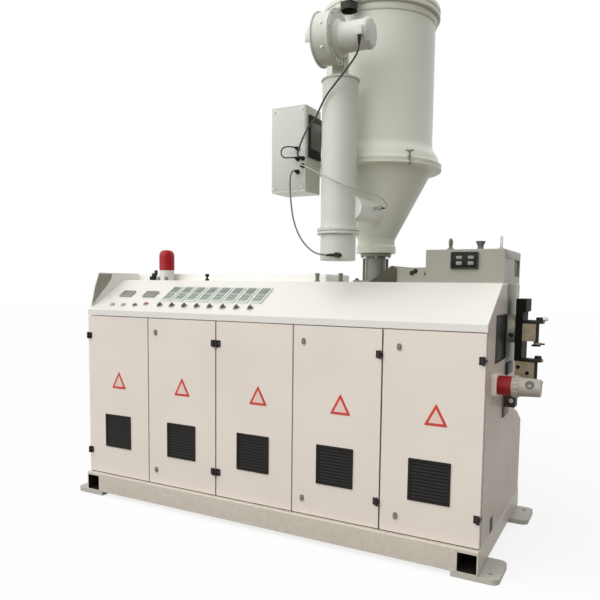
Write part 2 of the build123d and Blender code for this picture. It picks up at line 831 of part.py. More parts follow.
duct_x = throat_x + 30
duct_z = cone_bottom + 123
duct_radius = 60
with BuildPart() as hot_air_duct:
    with BuildSketch(Plane.XZ.offset(-pipe_y)):
        with Locations((duct_x, duct_z)):
            Circle(duct_radius)
    extrude(amount=-(hopper_y - pipe_y))
    add(heater_pipe.part, mode=Mode.SUBTRACT)
    with BuildSketch(Plane.XZ.offset(-hopper_y)):
        with BuildLine():
            Polyline(
                (throat_x, cone_bottom),
                (throat_x + cone_bottom_radius, cone_bottom),
                (throat_x + hopper_radius + 2, cone_top),
                (throat_x, cone_top),
                close=True,
            )
        make_face()
    revolve(axis=hopper_axis, mode=Mode.SUBTRACT)
hot_air_duct.part.label = "hot_air_duct"
export_step(hot_air_duct.part, "parts/hot_air_duct.step")

# Blower: a spiral casing whose outlet runs down into the pipe, with its motor to the die side
blower_x = pipe_x - 14
blower_width = 98
outlet_x = pipe_x - 6
outlet_rear_y = pipe_y + 35
outlet_depth = 56
outlet_width = 62
spiral_start_radius = 108
spiral_end_radius = 136
blower_y = outlet_rear_y - spiral_end_radius
blower_z = pipe_top + 154
tongue_angle = -60
spiral_turn = 360 + tongue_angle
neck_flange_thickness = 10


def spiral_point(angle, extra=0):
    """Point on the casing's spiral: the radius grows from the tongue round to the outlet."""
    grown = (tongue_angle - angle) / spiral_turn
    radius = spiral_start_radius + (spiral_end_radius - spiral_start_radius) * grown + extra
    return (blower_y + radius * cos(radians(angle)), blower_z + radius * sin(radians(angle)))


spiral_angles = [tongue_angle - step * spiral_turn / 10 for step in range(11)]
with BuildPart() as blower_scroll:
    for plane_x, width, extra in (
        (blower_x - blower_width / 2, blower_width, 0),
        (blower_x - blower_width / 2 + 4, 6, 7),
        (blower_x + blower_width / 2 - 12, 8, 7),
    ):
        with BuildSketch(Plane.YZ.offset(plane_x)):
            with BuildLine():
                Spline(*[spiral_point(angle, extra) for angle in spiral_angles])
                Line(spiral_point(spiral_angles[-1], extra), (blower_y, blower_z))
                Line((blower_y, blower_z), spiral_point(spiral_angles[0], extra))
            make_face()
        extrude(amount=width)
    with BuildSketch(Plane.XY.offset(pipe_top)):
        with Locations((outlet_x, outlet_rear_y - outlet_depth / 2)):
            Rectangle(outlet_width, outlet_depth)
    extrude(amount=blower_z - pipe_top)
    with BuildSketch(Plane.XY.offset(pipe_top)):
        with Locations((outlet_x, outlet_rear_y - outlet_depth / 2)):
            Rectangle(outlet_width + 36, outlet_depth + 36)
    extrude(amount=neck_flange_thickness)
blower_scroll.part.label = "blower_scroll"
export_step(blower_scroll.part, "parts/blower_scroll.step")

motor_radius = 72
motor_start_x = blower_x + blower_width / 2
motor_end_x = motor_start_x + 176
motor_box_x = motor_end_x - 40
with BuildPart() as blower_motor:
    with BuildSketch(Plane.XZ.offset(-blower_y)):
        with BuildLine():
            Polyline(
                (motor_start_x, blower_z),
                (motor_start_x, blower_z + motor_radius + 14),
                (motor_start_x + 10, blower_z + motor_radius + 14),
                (motor_start_x + 18, blower_z + motor_radius + 2),
                (motor_end_x - 26, blower_z + motor_radius - 2),
                (motor_end_x - 26, blower_z + motor_radius + 1),
                (motor_end_x - 6, blower_z + motor_radius - 2),
                (motor_end_x, blower_z + motor_radius - 12),
                (motor_end_x, blower_z),
                close=True,
            )
        make_face()
    revolve(axis=Axis((0, blower_y, blower_z), (1, 0, 0)))
    with BuildSketch(Plane.XZ.offset(-blower_y + motor_radius + 14)):
        with Locations((motor_box_x, blower_z - 10)):
            Rectangle(30, 44)
    extrude(amount=-40)
blower_motor.part.label = "blower_motor"
export_step(blower_motor.part, "parts/blower_motor.step")

# Half hood over the blower's inlet
guard_radius = 74
guard_reach = 44
with BuildPart() as inlet_guard:
    with BuildSketch(Plane.YZ.offset(blower_x - blower_width / 2)):
        with Locations((blower_y, blower_z)):
            Circle(guard_radius)
            Circle(guard_radius - 8, mode=Mode.SUBTRACT)
        with Locations((blower_y, blower_z - guard_radius)):
            Rectangle(2 * guard_radius, 2 * guard_radius - 30, mode=Mode.SUBTRACT)
    extrude(amount=-guard_reach)
    with BuildSketch(Plane.YZ.offset(blower_x - blower_width / 2)):
        with Locations((blower_y, blower_z)):
            Circle(guard_radius)
            Circle(guard_radius - 20, mode=Mode.SUBTRACT)
    extrude(amount=-4)
inlet_guard.part.label = "inlet_guard"
export_step(inlet_guard.part, "parts/inlet_guard.step")

# Dryer control box beside the pipe, on a bracket from the hopper
box_x = throat_x - hopper_radius - 31
box_front_y = pipe_y
box_depth = 170
box_width = 200
box_top = pipe_top - 89
box_height = 431
box_bottom = box_top - box_height
with BuildPart() as control_box:
    with BuildSketch(Plane.XY.offset(box_bottom)):
        with Locations((box_x, box_front_y + box_depth / 2)):
            Rectangle(box_width, box_depth)
    extrude(amount=box_height)
    fillet(control_box.edges().filter_by(Axis.Z), 6)
    chamfer(control_box.edges().group_by(Axis.Z)[-1], 3)
control_box.part.label = "control_box"
export_step(control_box.part, "parts/control_box.step")

bracket_bottom = box_top - 156
with BuildPart() as box_bracket:
    with BuildSketch(Plane.XY.offset(bracket_bottom)):
        with Locations((box_x + box_width / 2 - 40, (box_front_y + box_depth + hopper_y) / 2)):
            Rectangle(60, hopper_y - box_front_y - box_depth)
        with Locations((throat_x, hopper_y)):
            Circle(hopper_radius, mode=Mode.SUBTRACT)
    extrude(amount=120)
box_bracket.part.label = "box_bracket"
export_step(box_bracket.part, "parts/box_bracket.step")

# Cable glands on the box and the motor, the round terminal cap on the heater pot,
# and the thermocouple in the hot air duct
gland_radius = 10
gland_reach = 20
gland_places = (
    (box_x + 59, box_top - 218),
    (box_x + 59, box_top - 268),
    (box_x + 87, box_top - 268),
    (box_x + 87, box_top - 304),
    (box_x + 59, box_top - 333),
)
probe_y = hopper_y - 270
probe_z = duct_z + 10
probe_end_x = duct_x + 102
terminal_x = pipe_x + 42
terminal_z = pipe_bottom + 24
terminal_radius = 12
terminal_reach = 36
terminal_front_y = pipe_y - pipe_radius - 24
with BuildPart() as cable_glands:
    with BuildSketch(Plane.XZ.offset(-box_front_y)):
        with Locations(*gland_places):
            RegularPolygon(gland_radius + 2, 6)
    extrude(amount=gland_reach / 2)
    with BuildSketch(Plane.XZ.offset(-box_front_y + gland_reach / 2)):
        with Locations(*gland_places):
            Circle(gland_radius - 1)
    extrude(amount=gland_reach / 2)
    with BuildSketch(Plane.XY.offset(blower_z - 32)):
        with Locations((motor_box_x, blower_y - motor_radius - 6)):
            Circle(gland_radius - 2)
    extrude(amount=-gland_reach)
    with BuildSketch(Plane.XZ.offset(-terminal_front_y)):
        with Locations((terminal_x, terminal_z)):
            Circle(terminal_radius)
    extrude(amount=-pipe_radius / 2)
    with BuildSketch(Plane.YZ.offset(terminal_x)):
        with Locations((terminal_front_y + 12, terminal_z)):
            Circle(gland_radius - 3)
    extrude(amount=-terminal_reach)
    with BuildSketch(Plane.YZ.offset(duct_x + 40)):
        with Locations((probe_y, probe_z)):
            Circle(7)
    extrude(amount=probe_end_x - duct_x - 40)
    with BuildSketch(Plane.YZ.offset(probe_end_x - 18)):
        with Locations((probe_y, probe_z)):
            Circle(11)
    extrude(amount=18)
    add(hot_air_duct.part, mode=Mode.SUBTRACT)
    add(heater_pot.part, mode=Mode.SUBTRACT)
cable_glands.part.label = "cable_glands"
export_step(cable_glands.part, "parts/cable_glands.step")


def cord_radii(points):
    """Radius of the arc at each inner point of a cord, as large as the two runs there allow."""
    radii = []
    for before, here, after in zip(points, points[1:], points[2:]):
        run_in = Vector(*here) - Vector(*before)
        run_out = Vector(*after) - Vector(*here)
        half_turn = radians(run_in.get_angle(run_out)) / 2
        radii.append(0.45 * min(run_in.length, run_out.length) / tan(half_turn))
    return radii


# Routes of the dryer's cables from gland to gland, with each point's X from the middle of the throat
cords = {
    "motor_cable": (
        9,
        [
            (139, -584, 2407),
            (139, -584, 2368),
            (115, -576, 2334),
            (62, -553, 2296),
            (-2, -525, 2254),
            (-64, -504, 2208),
            (-102, -490, 2156),
            (-132, -474, 2118),
            (-174, -462, 2090),
            (-196, -470, 2046),
            (-202, -488, 2010),
            (-212, -494, 1978),
            (-226, -482, 1956),
            (-234, -455, 1948),
            (-234, -425, 1948),
        ],
    ),
    "heater_cable": (
        8,
        [
            (-26, -505, 1455),
            (-66, -505, 1455),
            (-118, -502, 1468),
            (-172, -494, 1508),
            (-218, -484, 1566),
            (-249, -476, 1636),
            (-263, -474, 1712),
            (-265, -484, 1788),
            (-263, -488, 1834),
            (-262, -480, 1866),
            (-262, -455, 1883),
            (-262, -425, 1883),
        ],
    ),
    "loop_cable": (
        7,
        [
            (-262, -425, 1998),
            (-262, -449, 1998),
            (-281, -466, 2000),
            (-308, -472, 1999),
            (-324, -474, 1983),
            (-323, -474, 1961),
            (-308, -472, 1945),
            (-281, -466, 1945),
            (-262, -449, 1948),
            (-262, -425, 1948),
        ],
    ),
    "sensor_lead": (
        5,
        [
            (132, -240, 1700),
            (156, -240, 1700),
            (172, -264, 1712),
            (156, -312, 1744),
            (130, -356, 1756),
            (104, -404, 1762),
            (80, -452, 1768),
            (40, -492, 1784),
            (-16, -512, 1810),
            (-78, -510, 1840),
            (-136, -498, 1870),
            (-184, -484, 1894),
            (-234, -460, 1912),
            (-234, -425, 1912),
        ],
    ),
}
for cord_name, (diameter, places) in cords.items():
    points = [(throat_x + x, y, z) for x, y, z in places]
    radii = cord_radii(points)
    print(cord_name, "radii", [round(radius) for radius in radii])
    with BuildPart() as piece:
        with BuildLine() as route:
            FilletPolyline(*points, radius=radii)
        with BuildSketch(Plane(origin=points[0], z_dir=Vector(*points[1]) - Vector(*points[0]))):
            Circle(diameter / 2)
        sweep(path=route.wires()[0])
    length = route.wires()[0].length
    section = pi * diameter**2 / 4
    print(cord_name, "length", round(length), "volume ratio", round(piece.part.volume / section / length, 4))
    piece.part.label = cord_name
    export_step(piece.part, f"parts/{cord_name}.step")
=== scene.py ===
from math import cos, pi, radians, sin

import bmesh
import bpy
from mathutils import Matrix, Vector


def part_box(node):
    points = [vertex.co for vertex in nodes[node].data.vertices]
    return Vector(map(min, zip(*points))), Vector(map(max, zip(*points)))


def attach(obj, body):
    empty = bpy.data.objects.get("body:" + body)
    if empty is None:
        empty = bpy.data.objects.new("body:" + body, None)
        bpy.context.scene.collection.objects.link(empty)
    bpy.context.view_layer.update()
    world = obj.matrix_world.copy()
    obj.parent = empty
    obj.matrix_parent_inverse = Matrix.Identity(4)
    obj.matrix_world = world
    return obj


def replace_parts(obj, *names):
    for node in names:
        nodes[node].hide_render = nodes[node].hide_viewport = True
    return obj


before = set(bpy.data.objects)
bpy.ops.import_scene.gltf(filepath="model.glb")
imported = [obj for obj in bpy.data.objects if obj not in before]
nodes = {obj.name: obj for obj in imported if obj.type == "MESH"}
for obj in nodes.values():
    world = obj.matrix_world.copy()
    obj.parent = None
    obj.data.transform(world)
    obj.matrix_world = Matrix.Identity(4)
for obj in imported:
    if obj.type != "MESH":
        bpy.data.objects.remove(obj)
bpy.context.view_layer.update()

# Camera: a 38 mm lens at chest height, in front of the die end and looking a little down.
# The sensor is shifted, because the picture was cropped from a larger one.
def placed(name, data):
    """A new object in the scene."""
    made = bpy.data.objects.new(name, data)
    bpy.context.scene.collection.objects.link(made)
    return made


camera_place = Vector((1.764, -3.273, 1.309))
camera_yaw, camera_pitch, camera_roll = radians(28.41), radians(4.92), radians(0.65)
camera_data = bpy.data.cameras.new("camera")
camera_data.sensor_width = 36
camera_data.lens = 37.64
camera_data.shift_x = 0.0043
camera_data.shift_y = 0.0647
camera_data.clip_end = 200
camera = placed("camera", camera_data)
camera.matrix_world = (
    Matrix.Translation(camera_place)
    @ Matrix.Rotation(camera_yaw, 4, "Z")
    @ Matrix.Rotation(pi / 2 - camera_pitch, 4, "X")
    @ Matrix.Rotation(camera_roll, 4, "Z")
)
bpy.context.scene.camera = camera
bpy.context.scene.view_settings.view_transform = "Standard"


# Floor and light: a smooth pale studio floor under an even white sky, with one broad soft lamp high
# at the front left and a weak one behind. Floor and sky look white, and the floor keeps the shadow.
def linear(hex_colour):
    """An sRGB hex colour as linear RGBA."""
    channels = [int(hex_colour[start : start + 2], 16) / 255 for start in (1, 3, 5)]
    return [c / 12.92 if c <= 0.04045 else ((c + 0.055) / 1.055) ** 2.4 for c in channels] + [1.0]


def add_node(owner, kind, inputs=None, **settings):
    """Adds a shader node to a material or world, with its settings, input values and links."""
    node = owner.node_tree.nodes.new("ShaderNode" + kind)
    for name, value in settings.items():
        setattr(node, name, value)
    for name, value in (inputs or {}).items():
        if isinstance(value, bpy.types.NodeSocket):
            owner.node_tree.links.new(value, node.inputs[name])
        else:
            node.inputs[name].default_value = value
    return node


def emptied(owner):
    """A new material or world, ready for its own nodes."""
    owner.use_nodes = True
    owner.node_tree.nodes.clear()
    return owner


def seen_share(owner):
    """1 where the eye, a reflection or a view through glass meets the background, and 0 for its light."""
    rays = add_node(owner, "LightPath").outputs
    direct = {0: rays["Is Camera Ray"], 1: rays["Is Glossy Ray"]}
    direct = add_node(owner, "Math", direct, operation="MAXIMUM")
    every = {0: direct.outputs[0], 1: rays["Is Transmission Ray"]}
    return add_node(owner, "Math", every, operation="MAXIMUM").outputs[0]


world = emptied(bpy.data.worlds.new("studio"))
bpy.context.scene.world = world
white_light = (1.0, 1.0, 1.0, 1.0)
sky = add_node(world, "Background", {"Color": white_light, "Strength": 0.40})
white = add_node(world, "Background", {"Color": white_light, "Strength": 1.0})
both = add_node(world, "MixShader", {0: seen_share(world), 1: sky.outputs[0], 2: white.outputs[0]})
add_node(world, "OutputWorld", {"Surface": both.outputs[0]})

for lamp_name, strength, spread, towards in (
    ("key_lamp", 2.55, 90, Vector((0.30, 0.68, -0.62))),
    ("back_lamp", 0.3, 60, Vector((-0.35, -0.75, -0.55))),
):
    lamp_data = bpy.data.lights.new(lamp_name, "SUN")
    lamp_data.energy = strength
    lamp_data.angle = radians(spread)
    placed(lamp_name, lamp_data).rotation_euler = towards.to_track_quat("-Z", "Y").to_euler()

floor_size = 60
floor_bmesh = bmesh.new()
bmesh.ops.create_grid(floor_bmesh, x_segments=1, y_segments=1, size=floor_size / 2)
floor_mesh = bpy.data.meshes.new("floor")
floor_bmesh.to_mesh(floor_mesh)
floor_bmesh.free()
floor_paint = emptied(bpy.data.materials.new("studio_floor"))
glow_share = 0.8
floor_dark = add_node(floor_paint, "BsdfDiffuse", {"Color": linear("#6E675D")})
floor_matt = add_node(floor_paint, "BsdfDiffuse", {"Color": linear("#FCFCFB")})
floor_glow = add_node(floor_paint, "Emission", {"Color": white_light, "Strength": 1.0})
floor_pale = {0: glow_share, 1: floor_matt.outputs[0], 2: floor_glow.outputs[0]}
floor_pale = add_node(floor_paint, "MixShader", floor_pale)
floor_seen = {0: seen_share(floor_paint), 1: floor_dark.outputs[0], 2: floor_pale.outputs[0]}
floor_seen = add_node(floor_paint, "MixShader", floor_seen)
add_node(floor_paint, "OutputMaterial", {"Surface": floor_seen.outputs[0]})
floor_mesh.materials.append(floor_paint)
placed("floor", floor_mesh)


# Base: channel beams and square cross tubes welded on foot plates, under a flat deck. Steel, painted
# with a warm grey machinery enamel that has gathered dust near the floor. The tubes are bare inside, and
# their near-black inner faces are partly painted shade in the open ends.
def textured(name, colour, other, cloud, surface, spread=None, dull=None, grain=None, bump=None, dust=0.0):
    """Two colours in a cloud of noise, which may spread the roughness too, over a grain that lifts the
    skin, with dust near the floor. Scales are cells per metre, and the rest is named as the sockets are."""
    dust_height, speck_scale = 0.42, 38.0  # specks of 26 mm
    made = emptied(bpy.data.materials.new(name))
    place = add_node(made, "TexCoord").outputs["Object"]
    cloudy = add_node(made, "TexNoise", {"Vector": place} | cloud).outputs["Fac"]
    toned = {0: cloudy, 6: linear(colour), 7: linear(other)}
    if spread:
        toned[0] = add_node(made, "MapRange", {"Value": cloudy} | spread).outputs["Result"]
    shown = add_node(made, "Mix", toned, data_type="RGBA").outputs[2]
    if dust:
        height = add_node(made, "SeparateXYZ", {"Vector": place}).outputs["Z"]
        low = {"Value": height, "From Max": dust_height, "To Min": dust, "To Max": 0.0}
        low = add_node(made, "MapRange", low).outputs["Result"]
        specks = {"Vector": place, "Scale": speck_scale, "Detail": 6.0, "Roughness": 0.7}
        specks = add_node(made, "TexNoise", specks).outputs["Fac"]
        dusty = add_node(made, "Math", {0: low, 1: specks}, operation="MULTIPLY").outputs[0]
        dusty = {0: dusty, 6: shown, 7: linear("#8E8474")}
        shown = add_node(made, "Mix", dusty, data_type="RGBA").outputs[2]
    if dull:
        dull = add_node(made, "MapRange", {"Value": cloudy} | dull)
        surface["Roughness"] = dull.outputs["Result"]
    if bump:
        grain = add_node(made, "TexNoise", {"Vector": place} | grain).outputs["Fac"]
        surface["Normal"] = add_node(made, "Bump", {"Height": grain} | bump).outputs["Normal"]
    surface = add_node(made, "BsdfPrincipled", {"Base Color": shown} | surface)
    add_node(made, "OutputMaterial", {"Surface": surface.outputs["BSDF"]})
    return made


def enamel(name, colour, worn_colour, roughness, dust=0.0, gloss=0.35):
    """Stoved paint on sheet steel: faint patches of 430 mm, a 3 mm orange peel, and dust near the floor."""
    return textured(
        name,
        colour,
        worn_colour,
        cloud={"Scale": 2.3, "Detail": 5.0, "Roughness": 0.62},
        spread={"From Min": 0.42, "From Max": 0.75, "To Max": 0.55},
        dull={"From Min": 0.3, "From Max": 0.7, "To Min": roughness - 0.05, "To Max": roughness + 0.08},
        grain={"Scale": 330.0, "Detail": 2.0},
        bump={"Strength": 0.06, "Distance": 0.0006},
        surface={"IOR": 1.5, "Specular IOR Level": gloss, "Coat Weight": 0.3 * gloss, "Coat Roughness": 0.25},
        dust=dust,
    )


def paint_nodes(material, *names):
    """Gives carried-over pieces of the frame their finish."""
    for name in names:
        nodes[name].data.materials.clear()
        nodes[name].data.materials.append(material)


def paint_split(name, finish, other_finish, takes_other):
    """Gives a carried-over piece a finish, and another one on the faces that a test picks."""
    mesh = nodes[name].data
    mesh.materials.clear()
    for each in (finish, other_finish):
        mesh.materials.append(each)
    for polygon in mesh.polygons:
        polygon.material_index = int(takes_other(polygon))


base_enamel = enamel("warm_grey_machinery_enamel", "#DFD7CB", "#D3CABD", 0.42, dust=0.75)
paint_nodes(base_enamel, "base_beams", "base_deck")
foot_enamel = enamel("foot_plate_grey_enamel", "#C3C1B8", "#B4B2A9", 0.5, dust=0.4)
paint_nodes(foot_enamel, "foot_plates")
tube_x, tube_z, tube_inside = 1.15, 0.075, 0.046
# Near-black bare steel on the tubes' inner faces, partly painted shade deep in the open ends.
mill_scale_and_shade = enamel("bare_steel_and_painted_shade", "#2A2621", "#1E1B17", 0.7, gloss=0.1)
paint_split(
    "cross_tubes",
    base_enamel,
    mill_scale_and_shade,
    lambda polygon: abs(polygon.normal.y) < 0.5
    and max(abs(abs(polygon.center.x) - tube_x), abs(polygon.center.z - tube_z)) < tube_inside,
)


# Cabinet: a welded frame behind the doors, end panels, a back sheet and a low rear trough, folded from
# sheet steel with a stoved warm white enamel; the end panels, back and trough take a darker copy of it,
# which is painted shade. The window in the die end has a near-black pane, painted shade of the dark
# inside, and along its near side a black strip, a painted shadow of the rim, in a rubber seal. The
# barrel's shield, a brown bracket whose dark lug is painted shade, and small fittings are screwed on.
def make_piece(name, built, material, body="machine", sharp_above=34):
    """Turns a finished bmesh into an object that rides on a body, smooth except at its real edges."""
    mesh = bpy.data.meshes.new(name)
    built.to_mesh(mesh)
    built.free()
    mesh.shade_smooth()
    mesh.set_sharp_from_angle(angle=radians(sharp_above))
    piece = placed(name, mesh)
    for each in material if isinstance(material, list) else [material]:
        mesh.materials.append(each)
    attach(piece, body)
    return piece


def add_block(built, low, high, edge=0.001, slot_index=0, turn=Matrix(), place=(0, 0, 0)):
    """A block between two corners with its edges rounded, then turned about the origin and moved."""
    low, high = Vector(low), Vector(high)
    old_verts, old_faces = set(built.verts), set(built.faces)
    verts = bmesh.ops.create_cube(built, size=1)["verts"]
    bmesh.ops.scale(built, vec=high - low, verts=verts)
    bmesh.ops.translate(built, vec=(low + high) / 2, verts=verts)
    edges = list({line for vert in verts for line in vert.link_edges})
    bmesh.ops.bevel(built, geom=edges, offset=edge, segments=2, profile=0.5, affect="EDGES", material=-1)
    fresh = [vert for vert in built.verts if vert not in old_verts]
    bmesh.ops.transform(built, matrix=Matrix.Translation(place) @ turn, verts=fresh)
    for face in built.faces:
        if face not in old_faces:
            face.material_index = slot_index


def turn_and_place(built, verts, place, axis, turned=1):
    """Turns geometry made along Z to look along X, Y or Z, or back along it, and sets it at its place."""
    angle, about = {"Z": (0, "Z"), "X": (pi / 2, "Y"), "Y": (-pi / 2, "X")}[axis]
    turn = Matrix.Rotation(angle, 4, about) @ Matrix.Rotation(pi if turned < 0 else 0, 4, "X")
    bmesh.ops.transform(built, matrix=Matrix.Translation(place) @ turn, verts=verts)


def add_turned(built, profile, place, axis="Z", steps=48, turned=1, slot_index=0):
    """A turned solid from (radius, height) pairs, set at a place with its axis along X, Y or Z."""
    old_verts, old_faces = set(built.verts), set(built.faces)
    points = [built.verts.new((radius, 0, height)) for radius, height in profile]
    lines = [built.edges.new(pair) for pair in zip(points, points[1:])]
    around = {"cent": (0, 0, 0), "axis": (0, 0, 1), "angle": 2 * pi}
    bmesh.ops.spin(built, geom=points + lines, steps=steps, use_merge=True, **around)
    fresh = [vert for vert in built.verts if vert not in old_verts]
    bmesh.ops.remove_doubles(built, verts=fresh, dist=0.00001)
    fresh = [vert for vert in built.verts if vert not in old_verts]
    faces = [face for face in built.faces if face not in old_faces]
    turn_and_place(built, fresh, place, axis, turned)
    for face in faces:
        face.material_index = slot_index
    bmesh.ops.recalc_face_normals(built, faces=faces)


def add_bolt(built, place, axis="Z", across=0.016, height=0.007, turned=1):
    """A hexagon head on its washer. turned is -1 where the head looks the other way along the axis."""
    washer = 0.002
    before = set(built.verts)
    for sides, wide, narrow, depth, start in (
        (20, 0.8 * across, 0.8 * across, washer, 0.0),
        (6, across / 1.73, across / 1.85, height, washer),
    ):
        middle = Matrix.Translation((0, 0, start + depth / 2))
        radii = {"radius1": wide, "radius2": narrow, "depth": depth}
        bmesh.ops.create_cone(built, cap_ends=True, segments=sides, matrix=middle, **radii)
    turn_and_place(built, [vert for vert in built.verts if vert not in before], place, axis, turned)


def block_piece(name, low, high, material, edge=0.001, body="machine"):
    """A piece that is one block."""
    built = bmesh.new()
    add_block(built, low, high, edge)
    return make_piece(name, built, material, body)


def turned_piece(name, profile, place, material, axis="Z", steps=48, turned=1, sharp_above=34):
    """A piece that is one turned solid."""
    built = bmesh.new()
    add_turned(built, profile, place, axis, steps, turned)
    return make_piece(name, built, material, sharp_above=sharp_above)


def bolt_piece(name, places, material, axis, across, height, turned=1, body="machine"):
    """A piece that is a set of like bolts."""
    built = bmesh.new()
    for place in places:
        add_bolt(built, place, axis, across, height, turned)
    return make_piece(name, built, material, body)


def four_around(middle, reach, other_reach):
    """The four places around a middle, given how far they lie from it along two axes."""
    reaches = [(side, other) for side in (-1, 1) for other in (-1, 1)]
    return [Vector(middle) + side * Vector(reach) + other * Vector(other_reach) for side, other in reaches]


def moulded(name, colour, shade_colour, roughness, grain_mm=1.2, coat=0.0, gloss=0.5):
    """Injection moulded plastic: nearly one colour, with a fine spark texture and an uneven soft sheen."""
    return textured(
        name,
        colour,
        shade_colour,
        cloud={"Scale": 22.0, "Detail": 3.0},
        dull={"To Min": roughness - 0.06, "To Max": roughness + 0.1},
        grain={"Scale": 1000.0 / grain_mm, "Detail": 2.0},
        bump={"Strength": 0.08, "Distance": 0.0004},
        surface={"IOR": 1.46, "Specular IOR Level": gloss, "Coat Weight": coat, "Coat Roughness": 0.12},
    )


cabinet_enamel = enamel("warm_white_stoved_enamel", "#EAE1D7", "#E1D7CC", 0.36, dust=0.22)
# A darker copy of the cabinet's enamel for the panels that face away from the key lamp: painted shade.
panel_shade_enamel = enamel("panel_enamel_painted_shade", "#D6CBBD", "#CCC0B1", 0.42, dust=0.5, gloss=0.15)
paint_nodes(cabinet_enamel, "front_frame")
paint_nodes(panel_shade_enamel, "end_panels", "back_panel", "rear_trough")
# Bright zinc plate on steel has a blotchy bloom in cells of 6 mm.
bright_zinc = textured(
    "bright_zinc_plate",
    "#B9B8B2",
    "#8C8B86",
    cloud={"Scale": 160.0, "Detail": 4.0},
    dull={"To Min": 0.26, "To Max": 0.46},
    surface={"Metallic": 1.0},
)
black_nylon = moulded("black_nylon", "#1B1B1A", "#242423", 0.48, gloss=0.2)
# The pane's near-black green is painted shade, standing for the dark inside of the cabinet.
dark_pane_shade = moulded("window_pane_painted_shade", "#23281F", "#191D17", 0.5, gloss=0.2)

panel_low, panel_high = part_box("back_panel")
trough_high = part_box("rear_trough")[1].z
screw_inset, screw_columns = 0.03, 11
screw_pitch = (panel_high.x - panel_low.x - 2 * screw_inset) / (screw_columns - 1)
back_places = [
    (panel_low.x + screw_inset + column * screw_pitch, panel_high.y, height)
    for column in range(screw_columns)
    for height in (trough_high + screw_inset, panel_high.z - screw_inset)
]
bolt_piece("back_screws", back_places, bright_zinc, "Y", across=0.010, height=0.004)

end_face = 1.2
pane_low, pane_high = Vector((end_face, -0.312, 0.961)), Vector((end_face, -0.068, 1.175))
lip, lap = 0.005, 0.004
window_seal = bmesh.new()
for y_low, y_high, z_low, z_high in (
    (pane_low.y - lip, pane_low.y + lap, pane_low.z - lip, pane_high.z + lip),
    (pane_high.y - lap, pane_high.y + lip, pane_low.z - lip, pane_high.z + lip),
    (pane_low.y + lap, pane_high.y - lap, pane_low.z - lip, pane_low.z + lap),
    (pane_low.y + lap, pane_high.y - lap, pane_high.z - lap, pane_high.z + lip),
):
    add_block(window_seal, (end_face - 0.006, y_low, z_low), (end_face + 0.003, y_high, z_high))
make_piece("window_seal", window_seal, black_nylon)
# A black strip along the window's near side: a painted shadow of the rim.
rim_shadow_width, rim_shadow_gap = 0.118, 0.003
rim_shadow_low = (end_face - 0.004, pane_low.y + rim_shadow_gap, pane_low.z + rim_shadow_gap)
rim_shadow_high = (end_face + 0.001, pane_low.y + rim_shadow_width, pane_high.z - rim_shadow_gap)
block_piece("window_rim_shadow", rim_shadow_low, rim_shadow_high, black_nylon)
pane_back = (end_face - 0.007, pane_low.y, pane_low.z)
pane_front = (end_face - 0.003, pane_high.y, pane_high.z)
block_piece("window_pane", pane_back, pane_front, dark_pane_shade)

end_plugs = bmesh.new()
plug_profile = [(0, -0.012), (0.011, -0.012), (0.011, 0.008), (0.008, 0.011), (0, 0.011)]
add_turned(end_plugs, plug_profile, (1.2195, -0.039, 1.073), "Y", 24, turned=-1)
add_block(end_plugs, (end_face, -0.050, 0.872), (end_face + 0.012, 0.100, 0.930), edge=0.003)
make_piece("end_panel_plugs", end_plugs, black_nylon)

shield_y, shield_z = (-0.061, 0.150), (0.932, 1.3265)
opening_y, opening_z = (-0.044, 0.104), (1.026, 1.174)
barrel_shield = bmesh.new()
for y_low, y_high, z_low, z_high in (
    (*shield_y, shield_z[0], opening_z[0]),
    (*shield_y, opening_z[1], shield_z[1]),
    (shield_y[0], opening_y[0], *opening_z),
    (opening_y[1], shield_y[1], *opening_z),
):
    add_block(barrel_shield, (end_face, y_low, z_low), (end_face + 0.003, y_high, z_high), edge=0.0008)
shield_enamel = enamel("barrel_shield_enamel", "#8E8F7E", "#808171", 0.45, gloss=0.15)
make_piece("barrel_shield", barrel_shield, shield_enamel)

bracket_front, bracket_top = -0.092, 0.790
bracket_enamel = enamel("bracket_brown_enamel", "#74685C", "#685D51", 0.5, gloss=0.15)
# The lug's near-black brown is painted shade on the bracket.
bracket_shade = enamel("bracket_lug_painted_shade", "#473F35", "#3D352C", 0.55, gloss=0.1)
end_bracket = bmesh.new()
plate_low, lug_low = (end_face, bracket_front, 0.664), (end_face + 0.006, bracket_front, 0.720)
add_block(end_bracket, plate_low, (end_face + 0.008, 0.050, bracket_top), edge=0.002)
add_block(end_bracket, lug_low, (end_face + 0.059, -0.020, bracket_top), edge=0.002, slot_index=1)
make_piece("end_bracket", end_bracket, [bracket_enamel, bracket_shade])
boss_profile = [(0, 0), (0.011, 0), (0.011, 0.003), (0.009, 0.005), (0, 0.005)]
boss_place = (end_face + 0.040, bracket_front, 0.753)
turned_piece("bracket_boss", boss_profile, boss_place, bright_zinc, "Y", 32, turned=-1)
slot_low, slot_high = (end_face, -0.290, 0.140), (end_face + 0.002, -0.230, 0.212)
block_piece("cable_slot_plate", slot_low, slot_high, black_nylon, edge=0.0008)


# Doors: five stiffened sheet skins with the cabinet's enamel, with dark rubber strips in the gaps below and
# between them, their dark grey painted shadow of the gaps. Each has a moulded louvre over a filter mat
# whose near-black is painted shade seen through the slats, black hinge leaves, quarter-turn locks on
# three, and a plain red-edged triangle.
door_count = 5
bay_width = 0.480
door_face = -0.500
hinge_side = (-1, 1, -1, 1, 1)
vent_middle_z, shade_mat_reach, screw_reach = 0.412, 0.095, 0.0935
mark_x = (-0.950, -0.473, 0.032, 0.507, 0.984)
mark_side, mark_border, mark_middle_z, mark_stretch = 0.112, 0.024, 0.710, 1.08
mark_radius = mark_side / 3**0.5
